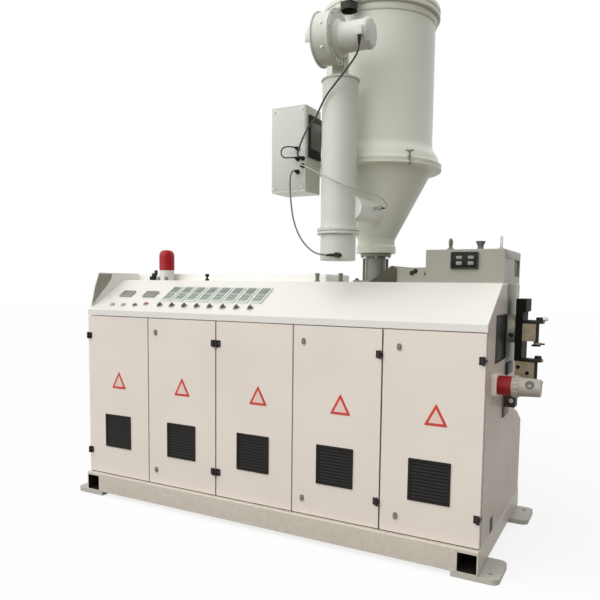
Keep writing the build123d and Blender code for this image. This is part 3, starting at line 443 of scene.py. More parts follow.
# The filter mat's near-black is painted shade seen through the louvres; the same sheet is painted shade
# inside the blower's inlet.
filter_mat_and_shade = moulded("dark_fleece_painted_shade", "#1A1A18", "#33322F", 0.95, grain_mm=3.5, gloss=0.2)
black_steel = enamel("black_stoved_steel", "#1E1D1B", "#2B2926", 0.40, gloss=0.2)
lock_grey = moulded("lock_grey_nylon", "#8B8882", "#7F7C76", 0.5, gloss=0.3)
louvre_black = moulded("louvre_black_abs", "#1B1A18", "#22201E", 0.6, gloss=0.2)
mark_red = enamel("mark_red_enamel", "#CB4236", "#BF3F34", 0.45)
mark_pale = enamel("mark_pale_enamel", "#E6CFC4", "#DCC4B8", 0.45)

for number in range(1, door_count + 1):
    body = f"door_{number}"
    middle = (number - 3) * bay_width
    paint_nodes(cabinet_enamel, body)
    paint_nodes(louvre_black, f"door_vent_{number}")
    hinge_x = middle + hinge_side[number - 1] * bay_width / 2
    far_side = lambda polygon: abs(polygon.center.x - hinge_x) > 0.1
    paint_split(f"door_fittings_{number}", black_steel, lock_grey, far_side)

    shade_mat_low = (middle - shade_mat_reach, door_face + 0.004, vent_middle_z - shade_mat_reach)
    shade_mat_high = (middle + shade_mat_reach, door_face + 0.009, vent_middle_z + shade_mat_reach)
    block_piece(f"door_filter_shade_{number}", shade_mat_low, shade_mat_high, filter_mat_and_shade, body=body)
    vent_middle = (middle, door_face - 0.005, vent_middle_z)
    vent_places = four_around(vent_middle, (screw_reach, 0, 0), (0, 0, screw_reach))
    bolt_piece(f"vent_screws_{number}", vent_places, black_steel, "Y", 0.006, 0.002, -1, body)

    mark = bmesh.new()
    for radius, corner, lift in ((mark_radius, 0.007, 0.0011), (mark_radius - mark_border, 0.003, 0.0014)):
        known = set(mark.verts)
        bmesh.ops.create_circle(mark, cap_ends=True, segments=3, radius=radius)
        fresh = [vert for vert in mark.verts if vert not in known]
        bmesh.ops.bevel(
            mark, geom=fresh, offset=corner, segments=3, profile=0.5, affect="VERTICES", material=-1
        )
        sheet = [face for face in mark.faces if not known.intersection(face.verts)]
        for face in sheet:
            face.material_index = int(bool(known))
        lifted = bmesh.ops.extrude_face_region(mark, geom=sheet)["geom"]
        lifted = [item for item in lifted if isinstance(item, bmesh.types.BMVert)]
        bmesh.ops.translate(mark, vec=(0, 0, lift), verts=lifted)
    bmesh.ops.recalc_face_normals(mark, faces=list(mark.faces))
    mark_place = Matrix.Translation((mark_x[number - 1], door_face - 0.0001, mark_middle_z))
    mark_turn = Matrix.Rotation(pi / 2, 4, "X") @ Matrix.Diagonal((1, mark_stretch, 1, 1))
    bmesh.ops.transform(mark, matrix=mark_place @ mark_turn, verts=mark.verts)
    make_piece(f"door_mark_{number}", mark, [mark_red, mark_pale], body)

paint_nodes(black_steel, "frame_hinges")
# Rubber strips in the gaps below and between the doors; their dark grey is painted shadow of the gaps.
gap_strip_half, gap_strip_low, gap_strip_high = 0.003, 0.142, 1.107
door_gap_shadow_strips = bmesh.new()
for x in (-0.24, 0.72):
    add_block(door_gap_shadow_strips, (x - gap_strip_half, -0.496, gap_strip_low), (x + gap_strip_half, -0.474, gap_strip_high), edge=0.0008)
add_block(door_gap_shadow_strips, (-1.190, -0.498, 0.137), (1.190, -0.484, 0.1405), edge=0.0008)
gap_shadow_rubber = moulded("door_gap_painted_shadow", "#55524A", "#48453E", 0.7, gloss=0.2)
make_piece("door_gap_shadow_strips", door_gap_shadow_strips, gap_shadow_rubber)


# Console: a bent sheet that slopes up from a lip over the doors and runs back over the barrel, with
# stoved white enamel. A raised cheek with a grey lining closes the drive end, and two lifting posts
# and two black knobs are screwed to the flat top.
console_enamel = enamel("console_white_enamel", "#E9E7E0", "#E2DFD8", 0.34)
lining_enamel = enamel("grey_green_fittings_enamel", "#7D7D70", "#6B6B60", 0.5)
cheek_grey = enamel("cheek_lining_enamel", "#979889", "#88897C", 0.5)
# A whiter copy of the console's enamel on the drive cover and the cheek; on the cheek's shaded inner face it
# is painted light.
white_and_painted_light = enamel("whiter_enamel_painted_light", "#F2F1EC", "#ECEAE4", 0.38)
paint_nodes(console_enamel, "console")
paint_nodes(white_and_painted_light, "drive_cover", "console_cheek")
lip_edge, slope_top = Vector((0, -0.500, 1.145)), Vector((0, -0.197, 1.328))
slope_direction = (slope_top - lip_edge).normalized()
slope_normal = Vector((0, -slope_direction.z, slope_direction.y))
slope_turn = Matrix((Vector((1, 0, 0)), slope_direction, slope_normal)).transposed().to_4x4()


def on_slope(built, x, along, raised=0.0):
    """Moves a mesh made flat at the origin to a place on the slope, given its distance up from the lip."""
    place = Vector((x, lip_edge.y, lip_edge.z)) + along * slope_direction + raised * slope_normal
    bmesh.ops.transform(built, matrix=Matrix.Translation(place) @ slope_turn, verts=built.verts)


def add_plate(built, outline, depth):
    """A flat outline given its thickness along a vector."""
    built.faces.new([built.verts.new(point) for point in outline])
    grown = bmesh.ops.extrude_face_region(built, geom=list(built.faces))["geom"]
    grown = [item for item in grown if isinstance(item, bmesh.types.BMVert)]
    bmesh.ops.translate(built, vec=depth, verts=grown)
    bmesh.ops.recalc_face_normals(built, faces=list(built.faces))


cheek_inner_x = -1.192
lining_outline = [(-0.474, 1.172), (-0.444, 1.283), (-0.411, 1.364), (-0.306, 1.364)]
lining_outline += [(-0.310, 1.338), (-0.347, 1.294), (-0.424, 1.222)]
lining = bmesh.new()
add_plate(lining, [(cheek_inner_x, y, z) for y, z in lining_outline], (0.003, 0, 0))
make_piece("cheek_lining", lining, cheek_grey)

console_top, fittings_y = 1.328, -0.150
post_profile = [(0, 0), (0.016, 0), (0.016, 0.004), (0.011, 0.008), (0.011, 0.034), (0.014, 0.038)]
post_profile += [(0.012, 0.046), (0, 0.048)]
posts = bmesh.new()
for x in (0.196, 0.337):
    add_turned(posts, post_profile, (x, fittings_y, console_top), steps=24)
make_piece("cover_posts", posts, lining_enamel)
knob_black = moulded("knob_black_phenolic", "#1D1C1A", "#272622", 0.3, gloss=0.2)
slim_knob = [(0, 0), (0.012, 0), (0.012, 0.010), (0.006, 0.014), (0.006, 0.022), (0.013, 0.028)]
slim_knob += [(0.012, 0.040), (0, 0.043)]
wide_knob = [(0, 0), (0.022, 0), (0.022, 0.022), (0.016, 0.026), (0, 0.026)]
knobs = bmesh.new()
add_turned(knobs, slim_knob, (-0.557, fittings_y, console_top), steps=24)
add_turned(knobs, wide_knob, (-0.986, fittings_y, console_top), steps=28)
add_block(knobs, (-0.992, fittings_y - 0.007, 1.350), (-0.958, fittings_y + 0.007, 1.374), edge=0.004)
add_block(knobs, (-0.972, fittings_y - 0.006, 1.362), (-0.950, fittings_y + 0.006, 1.392), edge=0.004)
make_piece("console_knobs", knobs, knob_black)


# Instruments on the slope: eight temperature controllers with a rotary switch under each, four push
# buttons and two meters, in moulded housings clipped through the sheet.
controller_count = 8
controller_pitch = 0.089
controller_first_x = -0.674
controller_along, collar_along, meter_along = 0.192, 0.066, 0.180
housing_pale = moulded("controller_pale_abs", "#E6EBE3", "#DDE3DA", 0.4)
face_green = moulded("controller_face_film", "#A9B3A9", "#9FA99F", 0.45)
window_glass = moulded("controller_window_acrylic", "#7E8880", "#727B73", 0.35, coat=0.2)
key_grey = moulded("controller_key_rubber", "#8D968C", "#838C82", 0.55)
button_pale = moulded("button_pale_acrylic", "#B9B9B4", "#AFAFA9", 0.3, coat=0.4)
button_blue = moulded("button_blue_acrylic", "#2C4350", "#263A48", 0.3, coat=0.4)
button_red = moulded("button_red_acrylic", "#B4695E", "#A85C52", 0.3, coat=0.4)
meter_grey = moulded("meter_frame_abs", "#A7A59E", "#9B9992", 0.42)
meter_glass = moulded("meter_smoked_window", "#83827C", "#777670", 0.35, coat=0.2)
switch_grey = moulded("switch_grey_nylon", "#777972", "#6A6C65", 0.5, gloss=0.2)
paint_nodes(housing_pale, "controllers")
paint_nodes(switch_grey, "selector_switches")
paint_split("panel_meters", meter_grey, knob_black, lambda polygon: polygon.center.x > 0)

key_size, key_pitch_x, key_pitch_y = 0.014, 0.019, 0.026
collar_profile = [(0.0155, 0), (0.0185, 0), (0.0185, 0.003), (0.0165, 0.005), (0.0155, 0.005), (0.0155, 0)]
for number in range(controller_count):
    x = controller_first_x + number * controller_pitch
    face = bmesh.new()
    add_block(face, (-0.0288, -0.0718, 0.0), (0.0288, 0.0718, 0.0012), edge=0.0004, slot_index=2)
    add_block(face, (-0.026, 0.018, 0.0), (0.026, 0.064, 0.0035))
    for row in range(2):
        for column in range(3):
            left, top = -0.026 + column * key_pitch_x, -0.006 - row * key_pitch_y
            add_block(face, (left, top - key_size, 0.0), (left + key_size, top, 0.003), slot_index=1)
    on_slope(face, x, controller_along, 0.006)
    make_piece(f"controller_face_{number + 1}", face, [window_glass, key_grey, face_green])

    collar = bmesh.new()
    add_turned(collar, collar_profile, (0, 0, 0), steps=28)
    on_slope(collar, x - 0.005, collar_along)
    make_piece(f"switch_collar_{number + 1}", collar, bright_zinc)

bezel_profile = [(0, 0), (0.0165, 0), (0.0165, 0.003), (0.0145, 0.005), (0.0125, 0.005), (0.0125, 0.002)]
bezel_profile += [(0, 0.002)]
cap_profile = [(0, 0.002), (0.0118, 0.002), (0.0118, 0.008), (0.010, 0.0105), (0.005, 0.0115), (0, 0.0118)]
for number, x, along, cap in (
    (1, -1.044, 0.058, button_pale),
    (2, -0.959, 0.060, button_pale),
    (3, -0.866, 0.060, button_blue),
    (4, -0.792, 0.076, button_red),
):
    button = bmesh.new()
    add_turned(button, bezel_profile, (0, 0, 0), steps=32)
    add_turned(button, cap_profile, (0, 0, 0), steps=32, slot_index=1)
    on_slope(button, x, along)
    button_piece = make_piece(f"push_button_{number}", button, [bright_zinc, cap])
    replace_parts(button_piece, "push_buttons")

for number, x in enumerate((-1.017, -0.832), 1):
    glass = bmesh.new()
    add_block(glass, (-0.040, -0.025, 0.0), (0.040, 0.025, 0.0015), edge=0.0005)
    on_slope(glass, x, meter_along, 0.007)
    make_piece(f"meter_window_{number}", glass, meter_glass)


# Beacon: a ribbed red polycarbonate lens on a pale moulded base with two feet, behind the meters.
# The lens is screwed into the base, and the feet are bolted to the console.
beacon_low, beacon_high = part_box("beacon_dome")
beacon_x = (beacon_low.x + beacon_high.x) / 2
beacon_y = (beacon_low.y + beacon_high.y) / 2
# The lens is clear red plastic, a little deeper in tone in cells of 33 mm.
lens_red = textured(
    "beacon_red_polycarbonate",
    "#BA0F19",
    "#930912",
    cloud={"Scale": 30.0},
    surface={"Roughness": 0.25, "IOR": 1.58, "Specular IOR Level": 0.2},
)
lens_radius, crown_radius, crown_start = 0.0475, 0.020, 0.090
lens_height = beacon_high.z - beacon_low.z
rib_count = 16
rib_pitch = 0.084 / rib_count
lens_profile = [(0, 0), (lens_radius, 0)]
for rib in range(rib_count):
    lens_profile += [
        (lens_radius, 0.002 + rib * rib_pitch),
        (lens_radius + 0.0013, 0.002 + (rib + 0.5) * rib_pitch),
    ]
for step in range(11):
    angle = radians(step * 9)
    across = crown_radius + (lens_radius - crown_radius) * cos(angle)
    crown_height = crown_start + (lens_height - 0.093) * sin(angle)
    lens_profile.append((across if step < 10 else crown_radius, crown_height))
lens_profile.append((0, lens_height))
lens_foot = (beacon_x, beacon_y, beacon_low.z)
lens = turned_piece("beacon_lens", lens_profile, lens_foot, lens_red, steps=72, sharp_above=60)
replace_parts(lens, "beacon_dome")
beacon_white = moulded("beacon_white_abs", "#E6E2DA", "#DCD8CF", 0.4)
paint_nodes(beacon_white, "beacon_base")
foot_high = console_top + 0.020
beacon_feet = bmesh.new()
for side in (-1, 1):
    foot_x = beacon_x + side * 0.030
    foot_low = (foot_x - 0.008, beacon_y - 0.054, console_top)
    add_block(beacon_feet, foot_low, (foot_x + 0.008, beacon_y - 0.034, foot_high), edge=0.002)
    add_bolt(beacon_feet, (foot_x, beacon_y - 0.048, foot_high), across=0.007, height=0.003)
make_piece("beacon_feet", beacon_feet, key_grey)


# Covers over the barrel: a low one and a tall one of folded sheet in grey-green machine enamel. They
# lift by an eye bolt, a fluted knob and a rod, and a dark display is clipped into the tall one's front.
cover_enamel = enamel("grey_green_cover_enamel", "#A3A295", "#98978A", 0.38, gloss=0.2)
# Dark grey on the throat studs, gate housing and gasket, and painted shade on the plate in the tall cover's
# end recess.
dark_grey_and_recess_shade = enamel("dark_grey_and_painted_recess_shade", "#6E6B61", "#5E5B52", 0.5)
display_glass = moulded("display_black_acrylic", "#0E0F0B", "#141510", 0.3, coat=0.05, gloss=0.15)
display_light = moulded("display_grey_window", "#868B82", "#787D74", 0.35, coat=0.2)
paint_nodes(cover_enamel, "main_cover", "low_cover")
cover_top, cover_front, handles_y = 1.492, -0.170, -0.12

eye_x, eye_middle, eye_radius, eye_wire = 0.926, cover_top + 0.035, 0.0175, 0.0058
eye_foot = [(0, 0), (0.020, 0), (0.020, 0.004), (0.012, 0.008), (0.010, 0.014), (0, 0.014)]
lifting_eye = bmesh.new()
add_turned(lifting_eye, eye_foot, (eye_x, handles_y, cover_top), steps=24)
wire_place = Matrix.Translation((eye_radius, 0, 0)) @ Matrix.Rotation(pi / 2, 4, "X")
wire = bmesh.ops.create_circle(lifting_eye, segments=14, radius=eye_wire, matrix=wire_place)["verts"]
wire_lines = list({line for vert in wire for line in vert.link_edges})
around = {"cent": (0, 0, 0), "axis": (0, 0, 1), "angle": 2 * pi}
bmesh.ops.spin(lifting_eye, geom=wire + wire_lines, steps=36, use_merge=True, **around)
loose =[vert for vert in lifting_eye.verts if vert.co.z < 0.5]
eye_turn = Matrix.Rotation(radians(88), 4, "Z") @ Matrix.Rotation(pi / 2, 4, "X")
eye_place = Matrix.Translation((eye_x, handles_y, eye_middle))
bmesh.ops.transform(lifting_eye, matrix=eye_place @ eye_turn, verts=loose)
bmesh.ops.recalc_face_normals(lifting_eye, faces=list(lifting_eye.faces))
make_piece("lifting_eye", lifting_eye, lining_enamel)

knob_profile = [(0, 0), (0.017, 0), (0.017, 0.003), (0.014, 0.006), (0.015, 0.020), (0.023, 0.037)]
knob_profile += [(0.023, 0.040), (0, 0.042)]
flute_depth = 0.07
fluted_knob = bmesh.new()
add_turned(fluted_knob, knob_profile, (0, 0, 0), steps=36)
for vert in fluted_knob.verts:
    if vert.co.xy.length > 0.0145 and vert.co.z > 0.01:
        step = round(Vector((1, 0)).angle_signed(vert.co.xy) / radians(10))
        vert.co.xy *= 1 - flute_depth * (step % 3 == 0)
bmesh.ops.translate(fluted_knob, vec=(1.073, handles_y, cover_top), verts=fluted_knob.verts)
knob_grey = moulded("fluted_knob_grey_phenolic", "#6F6F66", "#62625A", 0.45, gloss=0.3)
make_piece("fluted_knob", fluted_knob, knob_grey, sharp_above=50)

rod_foot = [(0, 0), (0.012, 0), (0.012, 0.006), (0.006, 0.008)]
rod_profile = rod_foot + [(0.006, 0.058), (0.004, 0.062), (0, 0.0625)]
turned_piece("lifting_rod", rod_profile, (1.172, handles_y, cover_top), bright_zinc, steps=20)

glass_y = cover_front - 0.0125
display_face = bmesh.new()
add_block(display_face, (0.952, glass_y, 1.4045), (1.068, cover_front - 0.011, 1.4705), edge=0.0005)
for x in (0.985, 1.042):
    for z_low, z_high in ((1.444, 1.459), (1.415, 1.432)):
        window_low, window_high = (x - 0.014, cover_front - 0.0135, z_low), (x + 0.014, glass_y, z_high)
        add_block(display_face, window_low, window_high, edge=0.0004, slot_index=1)
make_piece("display_face", display_face, [display_glass, display_light])

cover_plugs = bmesh.new()
for x, z in ((0.742, 1.376), (0.760, 1.386), (0.818, 1.372)):
    plug_profile = [(0, 0), (0.011, 0), (0.011, 0.006), (0.008, 0.009), (0, 0.009)]
    add_turned(cover_plugs, plug_profile, (x, -0.160, z), "Y", 20, turned=-1)
make_piece("low_cover_plugs", cover_plugs, black_nylon)

# The lining and plate set back in the tall cover's die end are darkened as painted shade in its recess.
for name, low, high, edge, finish in (
    ("cover_folded_band", (1.1990, -0.166, 1.4470), (1.2018, 0.258, 1.4875), 0.001, cover_enamel),
    ("recess_shade_lining", (1.1880, 0.102, 1.365), (1.1895, 0.176, 1.457), 0.0004, lining_enamel),
    ("recess_shade_plate", (1.1880, 0.176, 1.365), (1.1910, 0.250, 1.457), 0.0004, dark_grey_and_recess_shade),
):
    block_piece(name, low, high, finish, edge)


# Feed throat: a cast neck on a square plate, held down by four long studs and four bolts. A dark brace
# plate stands in front of the low cover, and behind it the sheet housing of the gate, round on top.
feed_enamel = enamel("feed_throat_enamel", "#96988B", "#898B7E", 0.42)
paint_nodes(feed_enamel, "feed_throat")
throat_x, throat_y, throat_plate = 0.468, 0.030, console_top + 0.010
stud_reach, bolt_reach, stud_length = 0.0495, 0.078, 0.122
throat_studs = bmesh.new()
stud_profile = [(0, 0), (0.0065, 0), (0.0065, stud_length), (0, stud_length)]
for place in four_around((throat_x, throat_y, throat_plate), (stud_reach, 0, 0), (0, stud_reach, 0)):
    add_turned(throat_studs, stud_profile, place, steps=14)
for place in four_around((throat_x, throat_y, throat_plate), (bolt_reach, 0, 0), (0, bolt_reach, 0)):
    add_bolt(throat_studs, place, across=0.017, height=0.009)
make_piece("throat_studs", throat_studs, dark_grey_and_recess_shade)

gusset = bmesh.new()
gusset_outline = [(0.508, 1.329), (0.628, 1.404), (0.660, 1.404), (0.660, 1.329)]
add_plate(gusset, [(x, -0.172, z) for x, z in gusset_outline], (0, 0.010, 0))
edges = list(gusset.edges)
bmesh.ops.bevel(gusset, geom=edges, offset=0.003, segments=2, profile=0.5, affect="EDGES", material=-1)
brace_enamel = enamel("dark_brace_enamel", "#514D41", "#423E34", 0.5, gloss=0.2)
make_piece("throat_gusset", gusset, brace_enamel)

gate_x, gate_half, gate_shoulder, gate_rise, gate_depth = 0.613, 0.025, 1.388, 0.027, 0.26
gate_outline = [(gate_x - gate_half, console_top)]
for step in range(9):
    angle = radians(180 - step * 22.5)
    gate_outline.append((gate_x + gate_half * cos(angle), gate_shoulder + gate_rise * sin(angle)))
gate_outline.append((gate_x + gate_half, console_top))
gate = bmesh.new()
add_plate(gate, [(x, -0.100, z) for x, z in gate_outline], (0, gate_depth, 0))
fronts = [face for face in gate.faces if abs(face.normal.y) > 0.9]
bmesh.ops.inset_individual(gate, faces=fronts, thickness=0.006, depth=-0.004, use_even_offset=True)
make_piece("gate_housing", gate, dark_grey_and_recess_shade)


# Barrel end: a thick die flange browned by heat, and two swing clamps with black straps, a bright lever
# tip and dark pins. Forged steel, machined and left bare, bolted to the end of the barrel.
def hot_steel(name, colour, tint_colour, roughness, metallic, gloss=0.5):
    """Machined steel that heat has tinted: oxide colours in clouds of 42 mm, and turning marks of 2.4 mm."""
    return textured(
        name,
        colour,
        tint_colour,
        cloud={"Scale": 24.0, "Detail": 6.0, "Roughness": 0.66},
        spread={"From Min": 0.32, "From Max": 0.68},
        dull={"To Min": roughness - 0.1, "To Max": roughness + 0.12},
        grain={"Scale": 420.0, "Detail": 2.0},
        bump={"Strength": 0.1, "Distance": 0.0004},
        surface={"Metallic": metallic, "Specular IOR Level": gloss},
    )


browned_steel = hot_steel("browned_flange_steel", "#120E0B", "#0B0908", 0.65, metallic=0.0, gloss=0.1)
clamp_steel = hot_steel("tinted_clamp_steel", "#A8987B", "#857A64", 0.5, metallic=0.15)
barrel_steel = hot_steel("bare_barrel_steel", "#A8A596", "#949182", 0.5, metallic=0.3)
paint_nodes(browned_steel, "die_flange")
paint_nodes(barrel_steel, "barrel", "feed_block")
paint_nodes(clamp_steel, "swing_clamps")

clamp_y, flange_face = -0.0365, 1.274
strap_half, strap_thick, strap_sink = 0.0215, 0.0168, 0.0012
pin_x = flange_face + 0.062
strap_outline = [(0, -strap_half), (0.080, -strap_half), (0.0985, 0), (0.080, strap_half), (0, strap_half)]
pin_profile = [(0, -0.112), (0.0215, -0.112), (0.0215, -0.104), (0.0115, -0.102), (0.0115, 0), (0, 0)]
nut_profile = [(0, 0.014), (0.017, 0.014), (0.017, 0.026), (0.013, 0.030), (0, 0.030)]
strap_black = enamel("strap_black_oxide", "#1B1A18", "#252320", 0.36, gloss=0.2)
for number, clamp_top in enumerate((1.135, 0.947), 1):
    strap = bmesh.new()
    outline = [(flange_face + x, clamp_y + y, clamp_top - strap_sink) for x, y in strap_outline]
    add_plate(strap, outline, (0, 0, strap_thick))
    edges = list(strap.edges)
    bmesh.ops.bevel(strap, geom=edges, offset=0.0015, segments=2, profile=0.5, affect="EDGES", material=-1)
    add_turned(strap, pin_profile, (pin_x + 0.002, clamp_y, clamp_top), steps=28)
    add_turned(strap, nut_profile, (pin_x + 0.014, clamp_y, clamp_top), steps=24)
    lever_low = (pin_x, clamp_y - 0.010, clamp_top - 0.104)
    add_block(strap, lever_low, (pin_x + 0.042, clamp_y + 0.010, clamp_top - 0.096), edge=0.003)
    make_piece(f"clamp_strap_{number}", strap, strap_black)
tip_profile = [(0, 0), (0.010, 0), (0.010, 0.014), (0.007, 0.022), (0, 0.022)]
turned_piece("clamp_lever_tip", tip_profile, (1.365, clamp_y, 1.156), bright_zinc, "X", 24)
clamp_pins = bmesh.new()
for x, z in ((1.261, 0.918), (1.304, 0.891)):
    pin_head = [(0, 0), (0.009, 0), (0.009, 0.005), (0.006, 0.008), (0, 0.008)]
    add_turned(clamp_pins, pin_head, (x, -0.055, z), "Y", 20, turned=-1)
make_piece("clamp_pins", clamp_pins, browned_steel)


# Power inlet low on the die end: a red flanged socket, screwed on, and the grey plug that stands in it.
# Moulded polyamide, with grip ribs, an end collar and a latch ring on the plug.
socket_red = moulded("socket_red_polyamide", "#A01A1E", "#861417", 0.4, gloss=0.25)
plug_grey = moulded("plug_grey_polyamide", "#B5AFA2", "#A29C8F", 0.42)
socket_flange_end = 1.2225
paint_split("power_socket", cabinet_enamel, socket_red, lambda polygon: polygon.center.x > socket_flange_end)
paint_nodes(plug_grey, "power_plug")
plug_y, plug_z = -0.330, 0.862
rib_total = 16
plug_ribs = bmesh.new()
for number in range(rib_total):
    rib_turn = Matrix.Rotation(number * 2 * pi / rib_total, 4, "X")
    rib_low, rib_high = (1.288, -0.004, 0.0465), (1.310, 0.004, 0.0505)
    add_block(plug_ribs, rib_low, rib_high, turn=rib_turn, place=(0, plug_y, plug_z))
make_piece("plug_grip_ribs", plug_ribs, plug_grey)
cap_profile = [(0, 0), (0.032, 0), (0.032, 0.006), (0.028, 0.010), (0.015, 0.010), (0.015, 0.004), (0, 0.004)]
turned_piece("plug_cap", cap_profile, (1.395, plug_y, plug_z), plug_grey, "X", 40)
latch_profile = [(0.011, 0), (0.018, 0), (0.018, 0.006), (0.016, 0.008), (0.011, 0.008), (0.011, 0)]
latch_place = (1.362, plug_y - 0.038, plug_z + 0.018)
turned_piece("plug_latch", latch_profile, latch_place, switch_grey, "Y", 32, turned=-1)
socket_places = four_around((1.222, plug_y, plug_z), (0, 0.041, 0), (0, 0, 0.041))
bolt_piece("socket_screws", socket_places, bright_zinc, "X", across=0.007, height=0.002)


# Hopper: a rolled and welded sheet steel drum over a cone, with a flat ring between them, three swing
# bolts with wing handles, and a shallow lid with a beaded rim. Grey-green enamel.
hopper_enamel = enamel("pale_grey_green_enamel", "#E6E8DA", "#DDDFD0", 0.4)
wall = 0.004
drum_radius, ring_radius, inlet_radius = 0.290, 0.342, 0.038
rim_radius = drum_radius + 0.024
base_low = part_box("hopper_base")[0].z
cone_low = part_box("hopper_cone")[0].z
cone_high, drum_high = (corner.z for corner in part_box("hopper_shell"))
lid_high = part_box("hopper_lid")[1].z


def stepped(radius, height, steps):
    """Part of a profile, given as steps from one radius and height."""
    return [(radius + out, height + up) for out, up in steps]


foot_profile = [(inlet_radius, base_low)] + stepped(0.108, base_low, [(-0.002, 0), (0, 0.002), (0, 0.036)])
foot_profile += [(0.102, base_low + 0.044)]
foot_profile += stepped(0.105, cone_low, [(-0.003, -0.008), (0, 0), (-0.009, 0)])
foot_profile += stepped(inlet_radius, base_low, [(0, 0.020), (0, 0)])
cone_profile = stepped(0.105, cone_low, [(-0.004, 0), (0, 0), (0.002, 0.004)])
cone_profile += [(0.290, cone_high - 0.018), (0.298, cone_high - 0.014)]
cone_profile += stepped(ring_radius, cone_high, [(-0.002, -0.014), (0, -0.012), (0, -0.002), (-0.002, 0)])
cone_profile += stepped(drum_radius - wall, cone_high, [(0, 0), (0, -0.012)]) + [(0.101, cone_low)]
drum_profile = [(drum_radius - wall, cone_high)]
ring_steps = [(-0.001, 0), (0, 0.002), (0, 0.016), (-0.003, 0.020), (-0.013, 0.022), (-0.016, 0.030)]
ring_steps += [(-0.019, 0.048), (-0.028, 0.066), (-0.040, 0.082), (-0.048, 0.098)]
drum_profile += stepped(ring_radius, cone_high, ring_steps) + [(drum_radius, cone_high + 0.116)]
neck_steps = [(0, -0.036), (0.005, -0.034), (0.008, -0.028), (0.008, -0.004), (0.005, 0), (-wall, 0)]
drum_profile += stepped(drum_radius, drum_high, neck_steps) + [(drum_radius - wall, cone_high)]
rim_steps = [(-0.004, 0), (0, 0.004), (0, 0.018), (-0.005, 0.022), (-0.005, 0.028), (0, 0.032)]
rim_steps += [(0, 0.050), (-0.004, 0.056), (-0.014, 0.061)]
crown_steps = [(0.250, 0.078), (0.180, 0.097), (0.100, 0.114), (0.088, 0.118)]
lid_profile = [(0, drum_high)] + stepped(rim_radius, drum_high, rim_steps)
lid_profile += stepped(0, drum_high, crown_steps) + [(0.084, lid_high), (0, lid_high)]
for name, profile, steps, node in (
    ("hopper_foot", foot_profile, 96, "hopper_base"),
    ("cone_wall", cone_profile, 128, "hopper_cone"),
    ("hopper_drum", drum_profile, 144, "hopper_shell"),
    ("lid_pressing", lid_profile, 144, "hopper_lid"),
):
    shell_place = (throat_x, throat_y, 0)
    shell = turned_piece(name, profile, shell_place, hopper_enamel, steps=steps)
    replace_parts(shell, node)

bolt_circle, handle_rise = 0.350, 0.1
swing_profile = [(0, -0.024), (0.009, -0.024), (0.009, -0.015), (0.005, -0.013), (0.005, 0.032)]
swing_profile += [(0.008, 0.034), (0.007, 0.046), (0, 0.047)]
wing_bolts, wing_lugs = bmesh.new(), bmesh.new()
for heading in (-42, 78, 198):
    bolt_x = throat_x + bolt_circle * cos(radians(heading))
    bolt_y = throat_y + bolt_circle * sin(radians(heading))
    add_turned(wing_bolts, swing_profile, (bolt_x, bolt_y, cone_high), steps=18)
    for side in (-1, 1):
        inner, outer = sorted((side * 0.004, side * 0.021))
        rise = Matrix(((1, 0, 0), (0, 1, 0), (side * handle_rise, 0, 1))).to_4x4()
        wing_turn = Matrix.Rotation(radians(heading + 70), 4, "Z") @ rise
        wing_place = (bolt_x, bolt_y, cone_high + 0.038)
        wing_low, wing_high = (inner, -0.003, 0.0), (outer, 0.003, 0.008)
        add_block(wing_bolts, wing_low, wing_high, edge=0.002, turn=wing_turn, place=wing_place)
    for z_low, z_high in ((-0.014, -0.007), (0.019, 0.025)):
        lug_turn, lug_place = Matrix.Rotation(radians(heading), 4, "Z"), (bolt_x, bolt_y, cone_high)
        lug_low, lug_high = (-0.016, -0.010, z_low), (0.004, 0.010, z_high)
        add_block(wing_lugs, lug_low, lug_high, edge=0.002, turn=lug_turn, place=lug_place)
make_piece("ring_wing_bolts", wing_bolts, lining_enamel)
make_piece("ring_lugs", wing_lugs, hopper_enamel)

flange_places = [
    (throat_x + 0.074 * cos(angle), throat_y + 0.074 * sin(angle), base_low - 0.017)
    for angle in (radians(22.5 + number * 45) for number in range(8))
]
bolt_piece("throat_flange_bolts", flange_places, bright_zinc, "Z", across=0.010, height=0.006, turned=-1)


# Exhaust bend: a black flexible duct from the lid over the rim, held by a zinc band near its mouth.
# Its stem stands in a rolled collar on the lid.
duct_black = moulded("black_duct_rubber", "#2F302B", "#3A3A34", 0.6, grain_mm=2.5, gloss=0.3)
paint_nodes(duct_black, "exhaust_bend")
drop_x, drop_y, band_z = 0.440, -0.330, 2.690
band_profile = [(0.0422, 0), (0.0440, 0), (0.0440, 0.012), (0.0422, 0.012), (0.0422, 0)]
band = bmesh.new()
add_turned(band, band_profile, (drop_x, drop_y, band_z))
worm_low, worm_high = (0.020, -0.052, 0.001), (0.036, -0.034, 0.011)
add_block(band, worm_low, worm_high, edge=0.002, place=(drop_x, drop_y, band_z))
make_piece("duct_band", band, bright_zinc)
stem_profile = [(0.0425, 0), (0.060, 0), (0.060, 0.004), (0.048, 0.006), (0.0475, 0.030), (0.0425, 0.030)]
stem_profile += [(0.0425, 0)]
turned_piece("duct_collar", stem_profile, (0.454, -0.138, 2.782), hopper_enamel)


# Heater pipe, pot and hot air duct: rolled sheet tubes in the dryer's enamel, joined by a bolted
# flange with a gasket. The duct enters the cone, and a thermocouple stands in it.
pipe_enamel = enamel("pale_dryer_enamel", "#DADCD1", "#D2D4C8", 0.38)
